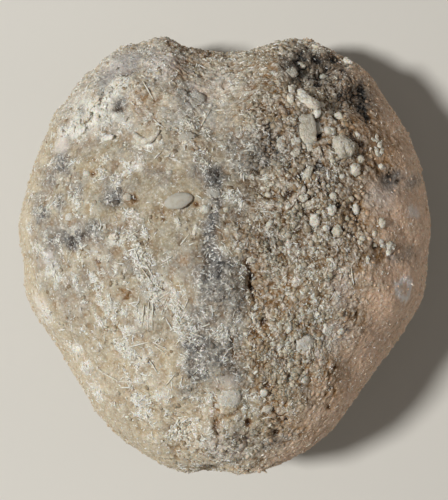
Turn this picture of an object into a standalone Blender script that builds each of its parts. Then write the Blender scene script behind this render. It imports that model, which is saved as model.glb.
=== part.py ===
"""A fossil heart urchin, lying on its flat mouth side with its front notch towards +Y.

The fossil is one stone. Its skin is a smooth heart-shaped dome, given by a direction round the
vertical axis and a share of the way from the crown to the base, with the animal's grooves, keel,
mouth and vent pressed into it along its normals, and larger grains of rock fused on top.
Lengths inside the functions are millimetres; the mesh is made in metres.
"""

import math

import bmesh
import bpy
import numpy as np
from mathutils import Matrix, Vector

MM = 0.001

# Driving dimensions, in millimetres.
HEIGHT = 28.6            # base to the highest point of the back
RIM_HEIGHT = 11.6        # mean height of the widest line above the base
RIM_TILT = 1.6           # how much higher the widest line is at the back than at the sides
CROWN_Y = -4.0           # the highest point lies behind the middle
FRONT_FALL = 3.4         # how far the dome's crown sinks towards the front
BACK_FALL = 0.8          # and towards the back
REST_SINK = 0.55         # how much of the base is worn away to the flat it rests on
MIDDLE = (0.16, 0.12)    # the middle of the fossil's box, from the axis that OUTLINE turns about

# Direction round the axis in degrees from +X, and the radius of the widest line there.
OUTLINE = (
    (0, 23.0), (15, 24.0), (30, 25.0), (43, 25.6), (52, 26.5), (60, 26.5), (69, 26.7), (75, 25.4),
    (82, 23.8), (90, 23.0), (96, 23.7), (101, 25.0), (106, 26.1), (118, 26.4), (129, 25.9),
    (140, 25.0), (150, 24.1), (162, 23.6), (172, 23.5), (182, 22.6), (197, 22.2), (211, 21.4),
    (224, 22.0), (235, 23.1), (246, 24.1), (257, 24.9), (268, 24.6), (277, 24.8), (288, 24.4),
    (300, 23.4), (313, 22.0), (325, 21.6), (337, 22.1), (348, 23.1),
)

# Sections through the dome and the underside: higher powers make a fuller curve.
DOME_POWER, DOME_ROOT = 2.25, 2.05
BASE_POWER, BASE_ROOT = 2.7, 2.3

# The star of grooves on the back, each a line of (x, y) points from the centre of the star outwards.
FRONT_GROOVE = ((-1.2, 7.5), (-1.3, 12.0), (-0.8, 17.0), (-0.2, 23.0))
KEEL = ((-0.8, 4.0), (-1.0, -4.0), (-0.9, -12.0), (-0.6, -21.0))
PETALS = (
    ((-3.0, 8.0), (-7.5, 9.6), (-13.5, 8.8)),
    ((0.8, 8.6), (5.5, 11.4), (9.5, 14.8)),
    ((-3.2, 4.5), (-5.6, -0.5), (-7.4, -8.0)),
    ((1.2, 5.0), (2.7, -2.0), (4.4, -9.5)),
)
PETAL_WIDTH, PETAL_DEPTH = 1.3, 0.45
GROOVE_WIDTH, GROOVE_DEPTH = 3.2, 0.9
KEEL_WIDTH, KEEL_HEIGHT = 3.4, 0.75

# Hollows weathered into the back: x, y, radius, depth.
HOLLOWS = (
    (8.9, 20.6, 1.6, 1.5), (11.6, 20.9, 1.3, 1.3), (12.7, 16.4, 1.5, 1.0), (9.3, 13.1, 1.2, 1.1),
    (14.8, 17.6, 1.5, 1.1), (2.9, -2.8, 1.3, 0.8), (18.4, 7.9, 1.5, 0.7), (14.0, 4.3, 1.4, 0.7),
    (-12.0, 5.7, 1.4, 0.6), (-16.6, 2.0, 1.3, 0.6), (-6.6, -3.0, 1.2, 0.6), (9.4, -14.2, 1.3, 0.7),
)

# Lumps fused to the back: x, y, radius, height.
KNOLLS = (
    (-15.6, 2.8, 1.5, 0.6), (-13.2, 2.2, 1.4, 0.5), (13.0, 11.8, 1.5, 0.55), (8.0, 13.6, 1.2, 0.7),
    (8.6, 16.8, 1.3, 0.6), (-4.5, 5.8, 1.3, 0.35), (9.0, -9.7, 1.2, 0.35), (0.6, -16.4, 1.4, 0.35),
    (-13.6, 17.0, 2.4, 0.5), (-18.0, 14.0, 2.0, 0.4),
)

# Rounded grains standing out of the back: x, y, half length, half width, turn in degrees.
GRAINS = (
    (12.6, 14.8, 0.72, 0.55, 20), (14.2, 13.1, 0.45, 0.40, 0), (15.0, 10.3, 0.55, 0.48, 70),
    (14.0, 9.0, 1.10, 0.95, 40), (17.6, 9.3, 0.50, 0.42, 0), (14.2, 5.0, 0.62, 0.50, 100),
    (17.4, 3.3, 0.60, 0.52, 10), (15.2, 1.6, 0.50, 0.40, 60), (18.6, 1.0, 0.60, 0.50, 30),
    (9.6, 3.7, 0.78, 0.58, 80), (11.4, 5.1, 0.68, 0.55, 95), (12.1, 2.4, 0.70, 0.66, 0),
    (6.1, 6.4, 0.50, 0.38, 110), (4.8, 3.2, 0.46, 0.38, 20), (16.0, -0.4, 0.44, 0.34, 0),
    (8.2, -9.5, 0.95, 0.62, 60), (4.2, -14.9, 0.52, 0.44, 40), (8.6, -13.4, 0.80, 0.60, 150),
    (0.8, -16.4, 1.15, 0.95, 20), (1.4, -20.0, 0.55, 0.40, 0), (-14.9, 8.7, 0.50, 0.38, 0),
    (-9.4, -6.2, 0.75, 0.52, 35), (-11.4, 14.4, 0.70, 0.50, 160), (-16.4, 12.6, 0.80, 0.60, 10),
)
GRAIN_SUNK = 0.45        # share of a grain's half width that its middle lies under the skin

# The lens-shaped plate in the middle of the back: x, y, half length, half width, turn in degrees.
LENS_PLATE = (-4.5, 5.9, 1.45, 0.80, 14)
LENS_THICK = 0.42        # half its thickness

# The mouth on the underside, near the front, with a lip behind it, and the vent high on the back end.
MOUTH_Y, MOUTH_WIDE, MOUTH_LONG, MOUTH_DEPTH = 13.5, 3.6, 1.7, 1.6
LIP_Y, LIP_HEIGHT = 10.6, 0.7
PLATE_WIDE, PLATE_LONG, PLATE_Y, PLATE_HEIGHT = 6.0, 12.0, -5.0, 0.9
TRACK_DEPTH = 0.5        # the bare tracks on each side of the plate
VENT_HEIGHT, VENT_WIDE, VENT_TALL, VENT_DEPTH = 16.5, 2.0, 2.6, 1.1

ROUND_STEPS, RING_STEPS = 88, 44


def smooth_step(low, high, value):
    """0 below low and 1 above high, with a smooth S between."""
    share = np.clip((value - low) / (high - low), 0.0, 1.0)
    return share * share * (3.0 - 2.0 * share)


def outline_radius(angle):
    """The radius of the widest line at angles in radians, on a smooth closed curve through OUTLINE."""
    degrees, radii = np.array(OUTLINE, float).T
    degrees = np.concatenate([degrees[-2:] - 360.0, degrees, degrees[:3] + 360.0])
    radii = np.concatenate([radii[-2:], radii, radii[:3]])
    slopes = np.zeros_like(radii)
    slopes[1:-1] = (radii[2:] - radii[:-2]) / (degrees[2:] - degrees[:-2])
    here = np.degrees(angle) % 360.0
    i = np.searchsorted(degrees, here, side="right") - 1
    span = degrees[i + 1] - degrees[i]
    t = (here - degrees[i]) / span
    return (
        radii[i] * (1 + 2 * t) * (1 - t) ** 2
        + slopes[i] * span * t * (1 - t) ** 2
        + radii[i + 1] * t * t * (3 - 2 * t)
        + slopes[i + 1] * span * t * t * (t - 1)
    )


def smooth_skin(angle, fall):
    """Points of the smooth heart-shaped body.

    fall is 0 at the crown, half pi at the widest line and pi in the middle of the base.
    """
    out = np.sin(fall)
    radius = outline_radius(angle) * out
    x, y = radius * np.cos(angle), radius * np.sin(angle)
    rim = RIM_HEIGHT - RIM_TILT * np.sin(angle)
    behind = (y - CROWN_Y) / 25.0
    crown = HEIGHT - np.where(behind > 0, FRONT_FALL, BACK_FALL) * behind**2
    dome = np.clip(1.0 - out**DOME_POWER, 0.0, 1.0) ** (1.0 / DOME_ROOT)
    bowl = np.clip(1.0 - out**BASE_POWER, 0.0, 1.0) ** (1.0 / BASE_ROOT)
    z = np.where(fall <= math.pi / 2, rim + (crown - rim) * dome, rim * (1.0 - bowl))
    return np.stack([x, y, z], axis=-1)


def skin_normals(angle, fall):
    """Outward unit normals of the smooth body, from small steps round it and down it."""
    step = 1e-3
    fall = np.clip(fall, 0.02, math.pi - 0.02)
    across = smooth_skin(angle + step, fall) - smooth_skin(angle - step, fall)
    down = smooth_skin(angle, fall + step) - smooth_skin(angle, fall - step)
    normal = np.cross(down, across)
    return normal / np.linalg.norm(normal, axis=-1, keepdims=True)


def line_distance(x, y, line):
    """Distance in plan from each point to a line of points, and the share of the line's length there."""
    line = np.array(line, float)
    lengths = np.linalg.norm(np.diff(line, axis=0), axis=1)
    starts = np.concatenate([[0.0], np.cumsum(lengths)])
    nearest = np.full(np.shape(x), 1e9)
    along = np.zeros(np.shape(x))
    for i, length in enumerate(lengths):
        (x0, y0), (x1, y1) = line[i], line[i + 1]
        t = np.clip(((x - x0) * (x1 - x0) + (y - y0) * (y1 - y0)) / length**2, 0.0, 1.0)
        distance = np.hypot(x - x0 - t * (x1 - x0), y - y0 - t * (y1 - y0))
        closer = distance < nearest
        nearest = np.where(closer, distance, nearest)
        along = np.where(closer, (starts[i] + t * length) / starts[-1], along)
    return nearest, along


def bump(x, y, centre_x, centre_y, radius):
    """A round bump in plan, 1 in its middle and fading out past its radius."""
    return np.exp(-((x - centre_x) ** 2 + (y - centre_y) ** 2) / radius**2)


def back_relief(x, y, out):
    """How far the back's skin stands out along its normal; out is the share of the way to the rim."""
    inside = 1.0 - smooth_step(0.86, 1.0, out)
    distance, along = line_distance(x, y, FRONT_GROOVE)
    wide = GROOVE_WIDTH * (0.55 + 0.45 * along)
    relief = -GROOVE_DEPTH * (0.25 + 0.75 * along) * np.exp(-((distance / wide) ** 2)) * inside
    distance, along = line_distance(x, y, KEEL)
    relief += KEEL_HEIGHT * np.exp(-((distance / KEEL_WIDTH) ** 2)) * inside
    for petal in PETALS:
        distance, along = line_distance(x, y, petal)
        fade = 1.0 - smooth_step(0.75, 1.0, along)
        relief -= PETAL_DEPTH * fade * np.exp(-((distance / PETAL_WIDTH) ** 2))
    for centre_x, centre_y, radius, depth in HOLLOWS:
        relief -= depth * bump(x, y, centre_x, centre_y, radius)
    for centre_x, centre_y, radius, height in KNOLLS:
        relief += height * bump(x, y, centre_x, centre_y, radius)
    return relief


def base_relief(x, y, out):
    """How far the underside's skin stands out: the mouth, its lip, the broad plate and its tracks."""
    inside = 1.0 - smooth_step(0.8, 1.0, out)
    plate = ((x / PLATE_WIDE) ** 2 + ((y - PLATE_Y) / PLATE_LONG) ** 2) ** 2
    relief = PLATE_HEIGHT * np.exp(-plate)
    for side in (-1.0, 1.0):
        track = ((side * 3.0, 11.0), (side * 8.0, 3.0), (side * 8.4, -8.0), (side * 4.5, -17.0))
        distance, along = line_distance(x, y, track)
        relief -= TRACK_DEPTH * np.exp(-((distance / 1.6) ** 2))
    distance, along = line_distance(x, y, ((0.0, 24.0), (0.0, MOUTH_Y + 2.0)))
    relief -= GROOVE_DEPTH * np.exp(-((distance / GROOVE_WIDTH) ** 2))
    relief += LIP_HEIGHT * np.exp(-((x / 2.6) ** 2) - ((y - LIP_Y) / 1.3) ** 2)
    mouth = ((x / MOUTH_WIDE) ** 2 + ((y - MOUTH_Y) / MOUTH_LONG) ** 2) ** 1.5
    return inside * (relief - MOUTH_DEPTH * np.exp(-mouth))


def end_relief(x, y, z):
    """How far the skin stands out round the vent, an oval pit high on the back end."""
    oval = ((x + 0.3) / VENT_WIDE) ** 2 + ((z - VENT_HEIGHT) / VENT_TALL) ** 2
    behind = smooth_step(-15.0, -20.0, y)
    return behind * (0.5 * np.exp(-(oval / 3.0)) - (VENT_DEPTH + 0.5) * np.exp(-(oval**1.5)))


def swells(point):
    """Broad uneven swells of a weathered stone, as a few crossing waves."""
    x, y, z = np.moveaxis(point, -1, 0)
    return 0.16 * (
        np.sin(0.52 * x + 0.31 * y + 0.9)
        + np.sin(-0.37 * x + 0.58 * y + 0.44 * z + 2.1)
        + 0.7 * np.sin(0.95 * x - 0.62 * y + 0.5 * z + 4.0)
        + 0.7 * np.sin(0.48 * x + 1.08 * y - 0.7 * z + 1.2)
    )


def worn_skin(angle, fall):
    """Points of the fossil's skin: the smooth body with its relief, worn flat where it rests."""
    smooth = smooth_skin(angle, fall)
    x, y, z = np.moveaxis(smooth, -1, 0)
    out = np.sin(fall)
    relief = np.where(fall <= math.pi / 2, back_relief(x, y, out), base_relief(x, y, out))
    above_rest = np.where(fall <= math.pi / 2, 1.0, smooth_step(0.3, 0.7, out))
    relief = relief + end_relief(x, y, z) + swells(smooth) * above_rest
    point = smooth + skin_normals(angle, fall) * relief[..., None]
    point -= (*MIDDLE, REST_SINK)
    flat = (fall > math.pi / 2) & (point[..., 2] < 0.0)
    point[..., 2] = np.where(flat, 0.0, point[..., 2])
    return point


def back_point(x, y):
    """The skin's point over (x, y) on the back, and the normal there."""
    angle = np.array([math.atan2(y, x)])
    out = math.hypot(x, y) / outline_radius(angle)
    fall = np.arcsin(np.clip(out, 0.0, 1.0))
    return Vector(worn_skin(angle, fall)[0]), Vector(skin_normals(angle, fall)[0])


def stone_material():
    """Pale, dull limestone."""
    material = bpy.data.materials.new("limestone")
    material.use_nodes = True
    shader = material.node_tree.nodes["Principled BSDF"]
    shader.inputs["Base Color"].default_value = (0.44, 0.38, 0.30, 1.0)
    shader.inputs["Roughness"].default_value = 0.85
    shader.inputs["Metallic"].default_value = 0.0
    return material


def make_body(collection):
    """The dome: a ball whose vertices are carried to the fossil's skin."""
    mesh = bpy.data.meshes.new("sea_urchin")
    shape = bmesh.new()
    bmesh.ops.create_uvsphere(shape, u_segments=ROUND_STEPS, v_segments=RING_STEPS, radius=1.0)
    unit = np.array([vertex.co for vertex in shape.verts], float)
    angle = np.arctan2(unit[:, 1], unit[:, 0])
    fall = np.arccos(np.clip(unit[:, 2], -1.0, 1.0))
    for vertex, point in zip(shape.verts, worn_skin(angle, fall) * MM):
        vertex.co = point
    bmesh.ops.triangulate(shape, faces=shape.faces)
    bmesh.ops.recalc_face_normals(shape, faces=shape.faces)
    shape.to_mesh(mesh)
    shape.free()
    body = bpy.data.objects.new("sea_urchin", mesh)
    collection.objects.link(body)
    return body


def add_ellipsoid(shape, x, y, halves, turn, rise):
    """Adds a faceted ellipsoid that lies on the skin at (x, y), lifted by rise along the normal."""
    point, normal = back_point(x, y)
    lie = normal.to_track_quat("Z", "Y").to_matrix().to_4x4()
    along = lie.inverted().to_3x3() @ Vector((math.cos(turn), math.sin(turn), 0.0))
    spin = Matrix.Rotation(math.atan2(along.y, along.x), 4, "Z")
    size = Matrix.Diagonal((*halves, 1.0))
    place = Matrix.Scale(MM, 4) @ Matrix.Translation(point + normal * rise) @ lie @ spin @ size
    bmesh.ops.create_icosphere(shape, subdivisions=2, radius=1.0, matrix=place)


def make_grains(collection):
    """The grains and the lens-shaped plate as one mesh of ellipsoids, each sunk into the skin."""
    mesh = bpy.data.meshes.new("grains")
    shape = bmesh.new()
    for x, y, long, wide, turn in GRAINS:
        add_ellipsoid(shape, x, y, (long, wide, wide), math.radians(turn), -GRAIN_SUNK * wide)
    x, y, long, wide, turn = LENS_PLATE
    add_ellipsoid(shape, x, y, (long, wide, LENS_THICK), math.radians(turn), 0.0)
    shape.to_mesh(mesh)
    shape.free()
    grains = bpy.data.objects.new("grains", mesh)
    grains.hide_render = True
    grains.display_type = "WIRE"
    collection.objects.link(grains)
    return grains


def main():
    """Clears the scene and builds the fossil."""
    for old in list(bpy.data.objects):
        bpy.data.objects.remove(old)
    scene = bpy.context.scene
    fossil = bpy.data.collections.new("fossil_sea_urchin")
    helpers = bpy.data.collections.new("joined_shapes")
    scene.collection.children.link(fossil)
    scene.collection.children.link(helpers)
    body = make_body(fossil)
    body.data.materials.append(stone_material())
    join = body.modifiers.new("fuse_grains", "BOOLEAN")
    join.operation = "UNION"
    join.object = make_grains(helpers)
    body.data.shade_smooth()
    body.data.set_sharp_from_angle(angle=math.radians(40.0))


main()
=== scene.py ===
"""Dresses a fossil heart urchin: the grainy limestone of its skin and what is cemented to it.

Lengths are in millimetres until a mesh is made. The frame's axes hold: +Y towards the front notch,
+X towards the coarser side and +Z out of the domed back. Places on the back are given in plan, as
(across, along) on the level of the rim, read by an eye straight above the fossil.
"""
import logging
import math
from dataclasses import dataclass, field
from enum import Enum

import bpy
import numpy as np
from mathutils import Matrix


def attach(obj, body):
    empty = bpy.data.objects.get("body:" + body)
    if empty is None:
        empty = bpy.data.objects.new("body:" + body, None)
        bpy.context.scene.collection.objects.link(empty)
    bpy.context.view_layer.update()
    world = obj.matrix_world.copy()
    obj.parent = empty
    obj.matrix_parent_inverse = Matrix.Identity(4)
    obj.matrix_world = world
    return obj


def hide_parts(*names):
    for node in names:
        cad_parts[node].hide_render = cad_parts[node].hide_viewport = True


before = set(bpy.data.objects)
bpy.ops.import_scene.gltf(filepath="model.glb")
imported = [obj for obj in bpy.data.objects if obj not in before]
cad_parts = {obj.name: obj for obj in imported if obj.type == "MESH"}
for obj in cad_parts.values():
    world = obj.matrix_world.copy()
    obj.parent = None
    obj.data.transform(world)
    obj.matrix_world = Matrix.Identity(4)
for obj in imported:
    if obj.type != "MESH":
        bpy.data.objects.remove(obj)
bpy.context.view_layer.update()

Array = np.ndarray
Colour = tuple[float, float, float, float]
Line = tuple[tuple[float, float], ...]
Rows = tuple[tuple[float, ...], ...]
Marks = dict[str, Array]
MM = 0.001
HALF_TURN = math.pi
TURN = 2 * math.pi
TURNED_OVER = [0, 2, 1]
GLOW_SPREAD, GLOW_REACH = (1.0, 0.65, 0.4), 0.35
SEED_SPREAD, CELL_SPREAD, LAST_SPREAD = 0x9E3779B1, 0x85EBCA6B, 0xC2B2AE35
LOG = logging.getLogger("fossil")


# ---------------------------------------------------------------- noise and small sums


def hash_unit(cells: Array, seed: int) -> Array:
    """Turns whole-number cells into scattered values by multiplying and folding their bits.

    Args:
        cells: whole numbers, with a cell's coordinates along the last axis.
        seed: picks one of many unlike scatterings.

    Returns:
        One value from 0 to 1 for each cell.
    """
    mixed = np.full(cells.shape[:-1], (seed * SEED_SPREAD) & 0xFFFFFFFF, np.uint32)
    for axis in range(cells.shape[-1]):
        mixed = (mixed ^ cells[..., axis].astype(np.int64).astype(np.uint32)) * np.uint32(CELL_SPREAD)
        mixed ^= mixed >> np.uint32(13)
    mixed = mixed * np.uint32(LAST_SPREAD)
    mixed ^= mixed >> np.uint32(16)
    return mixed / 2.0**32


def turned(points: Array, seed: int) -> Array:
    """Points turned about a slanted axis by an angle of the seed's own, so lattices don't line up."""
    angle = 0.7 + 1.3 * seed
    about = np.array([[0.0, -0.5, 0.62], [0.5, 0.0, -0.6], [-0.62, 0.6, 0.0]])
    turn = np.eye(3) + math.sin(angle) * about + (1 - math.cos(angle)) * about @ about
    return points @ turn.T


def smooth_noise(points: Array, size: float, seed: int) -> Array:
    """Noise from -1 to 1: random values on a cubic lattice, blended with quintic weights.

    Args:
        points: places, with x, y and z along the last axis.
        size: the lattice's pitch.
        seed: picks the pattern.

    Returns:
        One value for each place.
    """
    scaled = turned(points, seed) / size
    base = np.floor(scaled)
    part = scaled - base
    part = part**3 * (part * (6.0 * part - 15.0) + 10.0)
    total = np.zeros(points.shape[:-1])
    for corner in np.ndindex(2, 2, 2):
        weight = np.prod(np.where(np.array(corner) == 1, part, 1.0 - part), axis=-1)
        total += weight * hash_unit(base.astype(np.int64) + corner, seed)
    return 2.0 * total - 1.0


def drift(points: Array, size: float, seeds: tuple[int, ...]) -> Array:
    """A carrying off of each place, with smooth noise of its own along each axis."""
    return np.stack([smooth_noise(points, size, seed) for seed in seeds], axis=-1)


@dataclass(frozen=True)
class Cells:
    """What each place knows of the scattered seed points round it; distances are shares of the pitch."""

    near: Array
    second: Array
    value: Array
    lean: Array

    def crevice(self, width: float) -> Array:
        """1 midway between the two nearest seed points, falling off as a bell of some width."""
        return bell((self.second - self.near) / width)


def cells(points: Array, size: float, seed: int) -> Cells:
    """The nearest and second nearest of one random seed point in each cell of a lattice.

    Args:
        points: places, with x, y and z along the last axis.
        size: the lattice's pitch.
        seed: picks the pattern.

    Returns:
        The two distances, the nearest seed point's own value from 0 to 1, and its lean: how far
        the place lies from it along a random direction of its own, which makes a tilted facet.
    """
    scaled = turned(points, seed) / size
    base = np.floor(scaled).astype(np.int64)
    nearest = np.full(points.shape[:-1], 9.0)
    second = nearest.copy()
    owner = base.copy()
    for step in np.ndindex(3, 3, 3):
        cell = base + np.array(step) - 1
        distance = np.linalg.norm(scaled - seed_points(cell, seed), axis=-1)
        closer = distance < nearest
        second = np.where(closer, nearest, np.minimum(second, distance))
        nearest = np.where(closer, distance, nearest)
        owner = np.where(closer[..., None], cell, owner)
    way = np.stack([hash_unit(owner, seed + 700 + k) for k in range(3)], axis=-1) - 0.5
    lean = np.sum((scaled - seed_points(owner, seed)) * unit(way), axis=-1)
    return Cells(nearest, second, hash_unit(owner, seed + 500), lean)


def seed_points(cell: Array, seed: int) -> Array:
    """The random seed point of each cell of a lattice."""
    return cell + np.stack([hash_unit(cell, seed + 31 * k) for k in (1, 2, 3)], axis=-1)


def smooth_step(low: float, high: float, value: Array) -> Array:
    """0 below low and 1 above high, with a smooth S between; low may be the larger."""
    share = np.clip((value - low) / (high - low), 0.0, 1.0)
    return share * share * (3.0 - 2.0 * share)


def unit(vectors: Array) -> Array:
    """The vectors at length 1."""
    return vectors / np.maximum(np.linalg.norm(vectors, axis=-1, keepdims=True), 1e-12)


def bell(distance: Array) -> Array:
    """1 at no distance, falling off on both sides as exp(-distance^2)."""
    return np.exp(-(distance**2))


def oval(x: Array, y: Array, shape: tuple[float, float, float, float]) -> Array:
    """The squared distance from an oval's middle, 1 on its line; its shape is its middle and half sizes."""
    return ((x - shape[0]) / shape[2]) ** 2 + ((y - shape[1]) / shape[3]) ** 2


# ---------------------------------------------------------------- the smooth form


@dataclass(frozen=True)
class UrchinForm:
    """The heart-shaped body, worn flat where it rests, before any grain of rock is added.

    A place on it is an angle round the upright axis and a fall, which is 0 at the crown, a quarter
    turn at the rim and a half turn at the middle of the base.
    """

    height: float = 28.6
    rim_height: float = 11.6
    rim_tilt: float = 1.6
    crown_y: float = -4.0
    front_fall: float = 3.4
    back_fall: float = 0.8
    rest_sink: float = 0.55
    middle: tuple[float, float] = (0.16, 0.12)
    half_length: float = 25.0
    dome_power: float = 2.25
    dome_root: float = 2.05
    base_power: float = 2.7
    base_root: float = 2.3
    groove_depth: float = 0.9
    groove_width: float = 3.2
    keel_rise: float = 0.75
    keel_width: float = 3.4
    petal_depth: float = 0.45
    petal_width: float = 1.3
    plate: tuple[float, float, float, float] = (0.0, -5.0, 6.0, 12.0)
    mouth: tuple[float, float, float, float] = (0.0, 13.5, 3.6, 1.7)
    mouth_lip: tuple[float, float, float, float] = (0.0, 10.6, 2.6, 1.3)
    mouth_depth: float = 1.6
    vent: tuple[float, float, float, float] = (-0.3, 16.5, 2.0, 2.6)
    vent_depth: float = 1.6
    outline: Line = (
        (0, 23.3), (7, 23.8), (15, 24.1), (30, 25.1), (43, 25.75), (52, 26.7), (60, 26.6), (69, 26.5),
        (75, 25.4), (82, 23.85), (90, 23.1), (96, 23.6), (101, 24.7), (105.5, 26.0), (111, 26.1),
        (118, 26.45), (124, 26.0), (130, 25.85), (135, 25.2), (140, 25.05), (144, 24.4), (150, 24.1),
        (162, 23.6), (172, 23.5), (182, 22.65), (189, 22.7), (197, 22.4), (211, 21.4), (224, 22.0),
        (235, 23.2), (246, 24.05), (257, 24.8), (263, 24.5), (268, 24.4), (277, 24.75), (288, 24.4),
        (300, 23.5), (313, 22.1), (325, 21.7), (337, 22.2), (348, 23.2), (355, 23.3),
    )
    front_groove: Line = ((-1.2, 7.5), (-1.3, 12.0), (-0.8, 17.0), (-0.2, 23.0))
    keel: Line = ((-0.8, 4.0), (-1.0, -4.0), (-0.9, -12.0), (-0.6, -21.0))
    petals: tuple[Line, ...] = (
        ((-3.0, 8.0), (-7.5, 9.6), (-13.5, 8.8)),
        ((0.8, 8.6), (5.5, 11.4), (9.5, 14.8)),
        ((-3.2, 4.5), (-5.6, -0.5), (-7.4, -8.0)),
        ((1.2, 5.0), (2.7, -2.0), (4.4, -9.5)),
    )
    hollows: Rows = (
        (8.9, 20.6, 1.6, 1.5), (11.6, 20.9, 1.3, 1.3), (12.7, 16.4, 1.5, 1.0), (9.3, 13.1, 1.2, 1.1),
        (14.8, 17.6, 1.5, 1.1), (2.9, -2.8, 1.3, 0.8), (18.4, 7.9, 1.5, 0.7), (14.0, 4.3, 1.4, 0.7),
        (-12.0, 5.7, 1.4, 0.6), (-16.6, 2.0, 1.3, 0.6), (-6.6, -3.0, 1.2, 0.6), (9.4, -14.2, 1.3, 0.7),
    )
    knolls: Rows = (
        (-15.6, 2.8, 1.5, 0.6), (-13.2, 2.2, 1.4, 0.5), (13.0, 11.8, 1.5, 0.55), (8.0, 13.6, 1.2, 0.7),
        (8.6, 16.8, 1.3, 0.6), (-4.5, 5.8, 1.3, 0.35), (9.0, -9.7, 1.2, 0.35), (0.6, -16.4, 1.4, 0.35),
        (-13.6, 17.0, 2.4, 0.5), (-18.0, 14.0, 2.0, 0.4),
    )

    def outline_radius(self, angle: Array) -> Array:
        """Radius of the rim: a smooth closed curve through the outline's points, cubic between each two."""
        degrees, radii = np.array(self.outline, float).T
        degrees = np.concatenate([degrees[-2:] - 360.0, degrees, degrees[:3] + 360.0])
        radii = np.concatenate([radii[-2:], radii, radii[:3]])
        slopes = np.zeros_like(radii)
        slopes[1:-1] = (radii[2:] - radii[:-2]) / (degrees[2:] - degrees[:-2])
        here = np.degrees(angle) % 360.0
        i = np.searchsorted(degrees, here, side="right") - 1
        span = degrees[i + 1] - degrees[i]
        t = (here - degrees[i]) / span
        return (
            radii[i] * (1 + 2 * t) * (1 - t) ** 2
            + slopes[i] * span * t * (1 - t) ** 2
            + radii[i + 1] * t * t * (3 - 2 * t)
            + slopes[i + 1] * span * t * t * (t - 1)
        )

    def smooth_skin(self, angle: Array, fall: Array) -> Array:
        """Points of the plain body: each upright section is a superellipse over and under the rim."""
        out = np.sin(fall)
        radius = self.outline_radius(angle) * out
        x, y = radius * np.cos(angle), radius * np.sin(angle)
        rim = self.rim_height - self.rim_tilt * np.sin(angle)
        behind = (y - self.crown_y) / self.half_length
        crown = self.height - np.where(behind > 0, self.front_fall, self.back_fall) * behind**2
        dome = np.clip(1.0 - out**self.dome_power, 0.0, 1.0) ** (1.0 / self.dome_root)
        bowl = np.clip(1.0 - out**self.base_power, 0.0, 1.0) ** (1.0 / self.base_root)
        z = np.where(fall <= HALF_TURN / 2, rim + (crown - rim) * dome, rim * (1.0 - bowl))
        return np.stack([x, y, z], axis=-1)

    def normals(self, angle: Array, fall: Array) -> Array:
        """Outward unit normals of the plain body, from small steps round it and down it."""
        step = 1e-3
        fall = np.clip(fall, 0.02, HALF_TURN - 0.02)
        across = self.smooth_skin(angle + step, fall) - self.smooth_skin(angle - step, fall)
        down = self.smooth_skin(angle, fall + step) - self.smooth_skin(angle, fall - step)
        return unit(np.cross(down, across))

    def back_relief(self, x: Array, y: Array, out: Array) -> Array:
        """Height of the back's own relief: front groove, keel, petals, hollows and knolls."""
        inside = 1.0 - smooth_step(0.86, 1.0, out)
        distance, along = line_distance(x, y, self.front_groove)
        wide = self.groove_width * (0.55 + 0.45 * along)
        relief = -self.groove_depth * (0.25 + 0.75 * along) * bell(distance / wide) * inside
        relief += self.keel_rise * bell(line_distance(x, y, self.keel)[0] / self.keel_width) * inside
        for petal in self.petals:
            distance, along = line_distance(x, y, petal)
            faded = 1.0 - smooth_step(0.75, 1.0, along)
            relief -= self.petal_depth * faded * bell(distance / self.petal_width)
        for sign, places in ((-1.0, self.hollows), (1.0, self.knolls)):
            for centre_x, centre_y, radius, rise in places:
                away = (x - centre_x) ** 2 + (y - centre_y) ** 2
                relief += sign * rise * np.exp(-away / radius**2)
        return relief

    def base_relief(self, x: Array, y: Array, out: Array) -> Array:
        """Height of the underside's relief: the mouth, its lip, the broad plate and its tracks."""
        inside = 1.0 - smooth_step(0.8, 1.0, out)
        relief = 0.9 * bell(oval(x, y, self.plate))
        for side in (-1.0, 1.0):
            track = ((side * 3.0, 11.0), (side * 8.0, 3.0), (side * 8.4, -8.0), (side * 4.5, -17.0))
            relief -= 0.5 * bell(line_distance(x, y, track)[0] / 1.6)
        notch = line_distance(x, y, ((0.0, 24.0), (0.0, 15.5)))[0]
        relief -= self.groove_depth * bell(notch / self.groove_width)
        relief += 0.7 * np.exp(-oval(x, y, self.mouth_lip))
        return inside * (relief - self.mouth_depth * np.exp(-(oval(x, y, self.mouth) ** 1.5)))

    def end_relief(self, x: Array, y: Array, z: Array) -> Array:
        """Height of the relief round the vent, an oval pit high on the back end."""
        away = oval(x, z, self.vent)
        relief = 0.5 * np.exp(-(away / 3.0)) - self.vent_depth * np.exp(-(away**1.5))
        return smooth_step(-15.0, -20.0, y) * relief

    def swells(self, point: Array) -> Array:
        """Broad uneven swells of a weathered stone, as four crossing waves."""
        x, y, z = np.moveaxis(point, -1, 0)
        return 0.16 * (
            np.sin(0.52 * x + 0.31 * y + 0.9)
            + np.sin(-0.37 * x + 0.58 * y + 0.44 * z + 2.1)
            + 0.7 * np.sin(0.95 * x - 0.62 * y + 0.5 * z + 4.0)
            + 0.7 * np.sin(0.48 * x + 1.08 * y - 0.7 * z + 1.2)
        )

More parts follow.
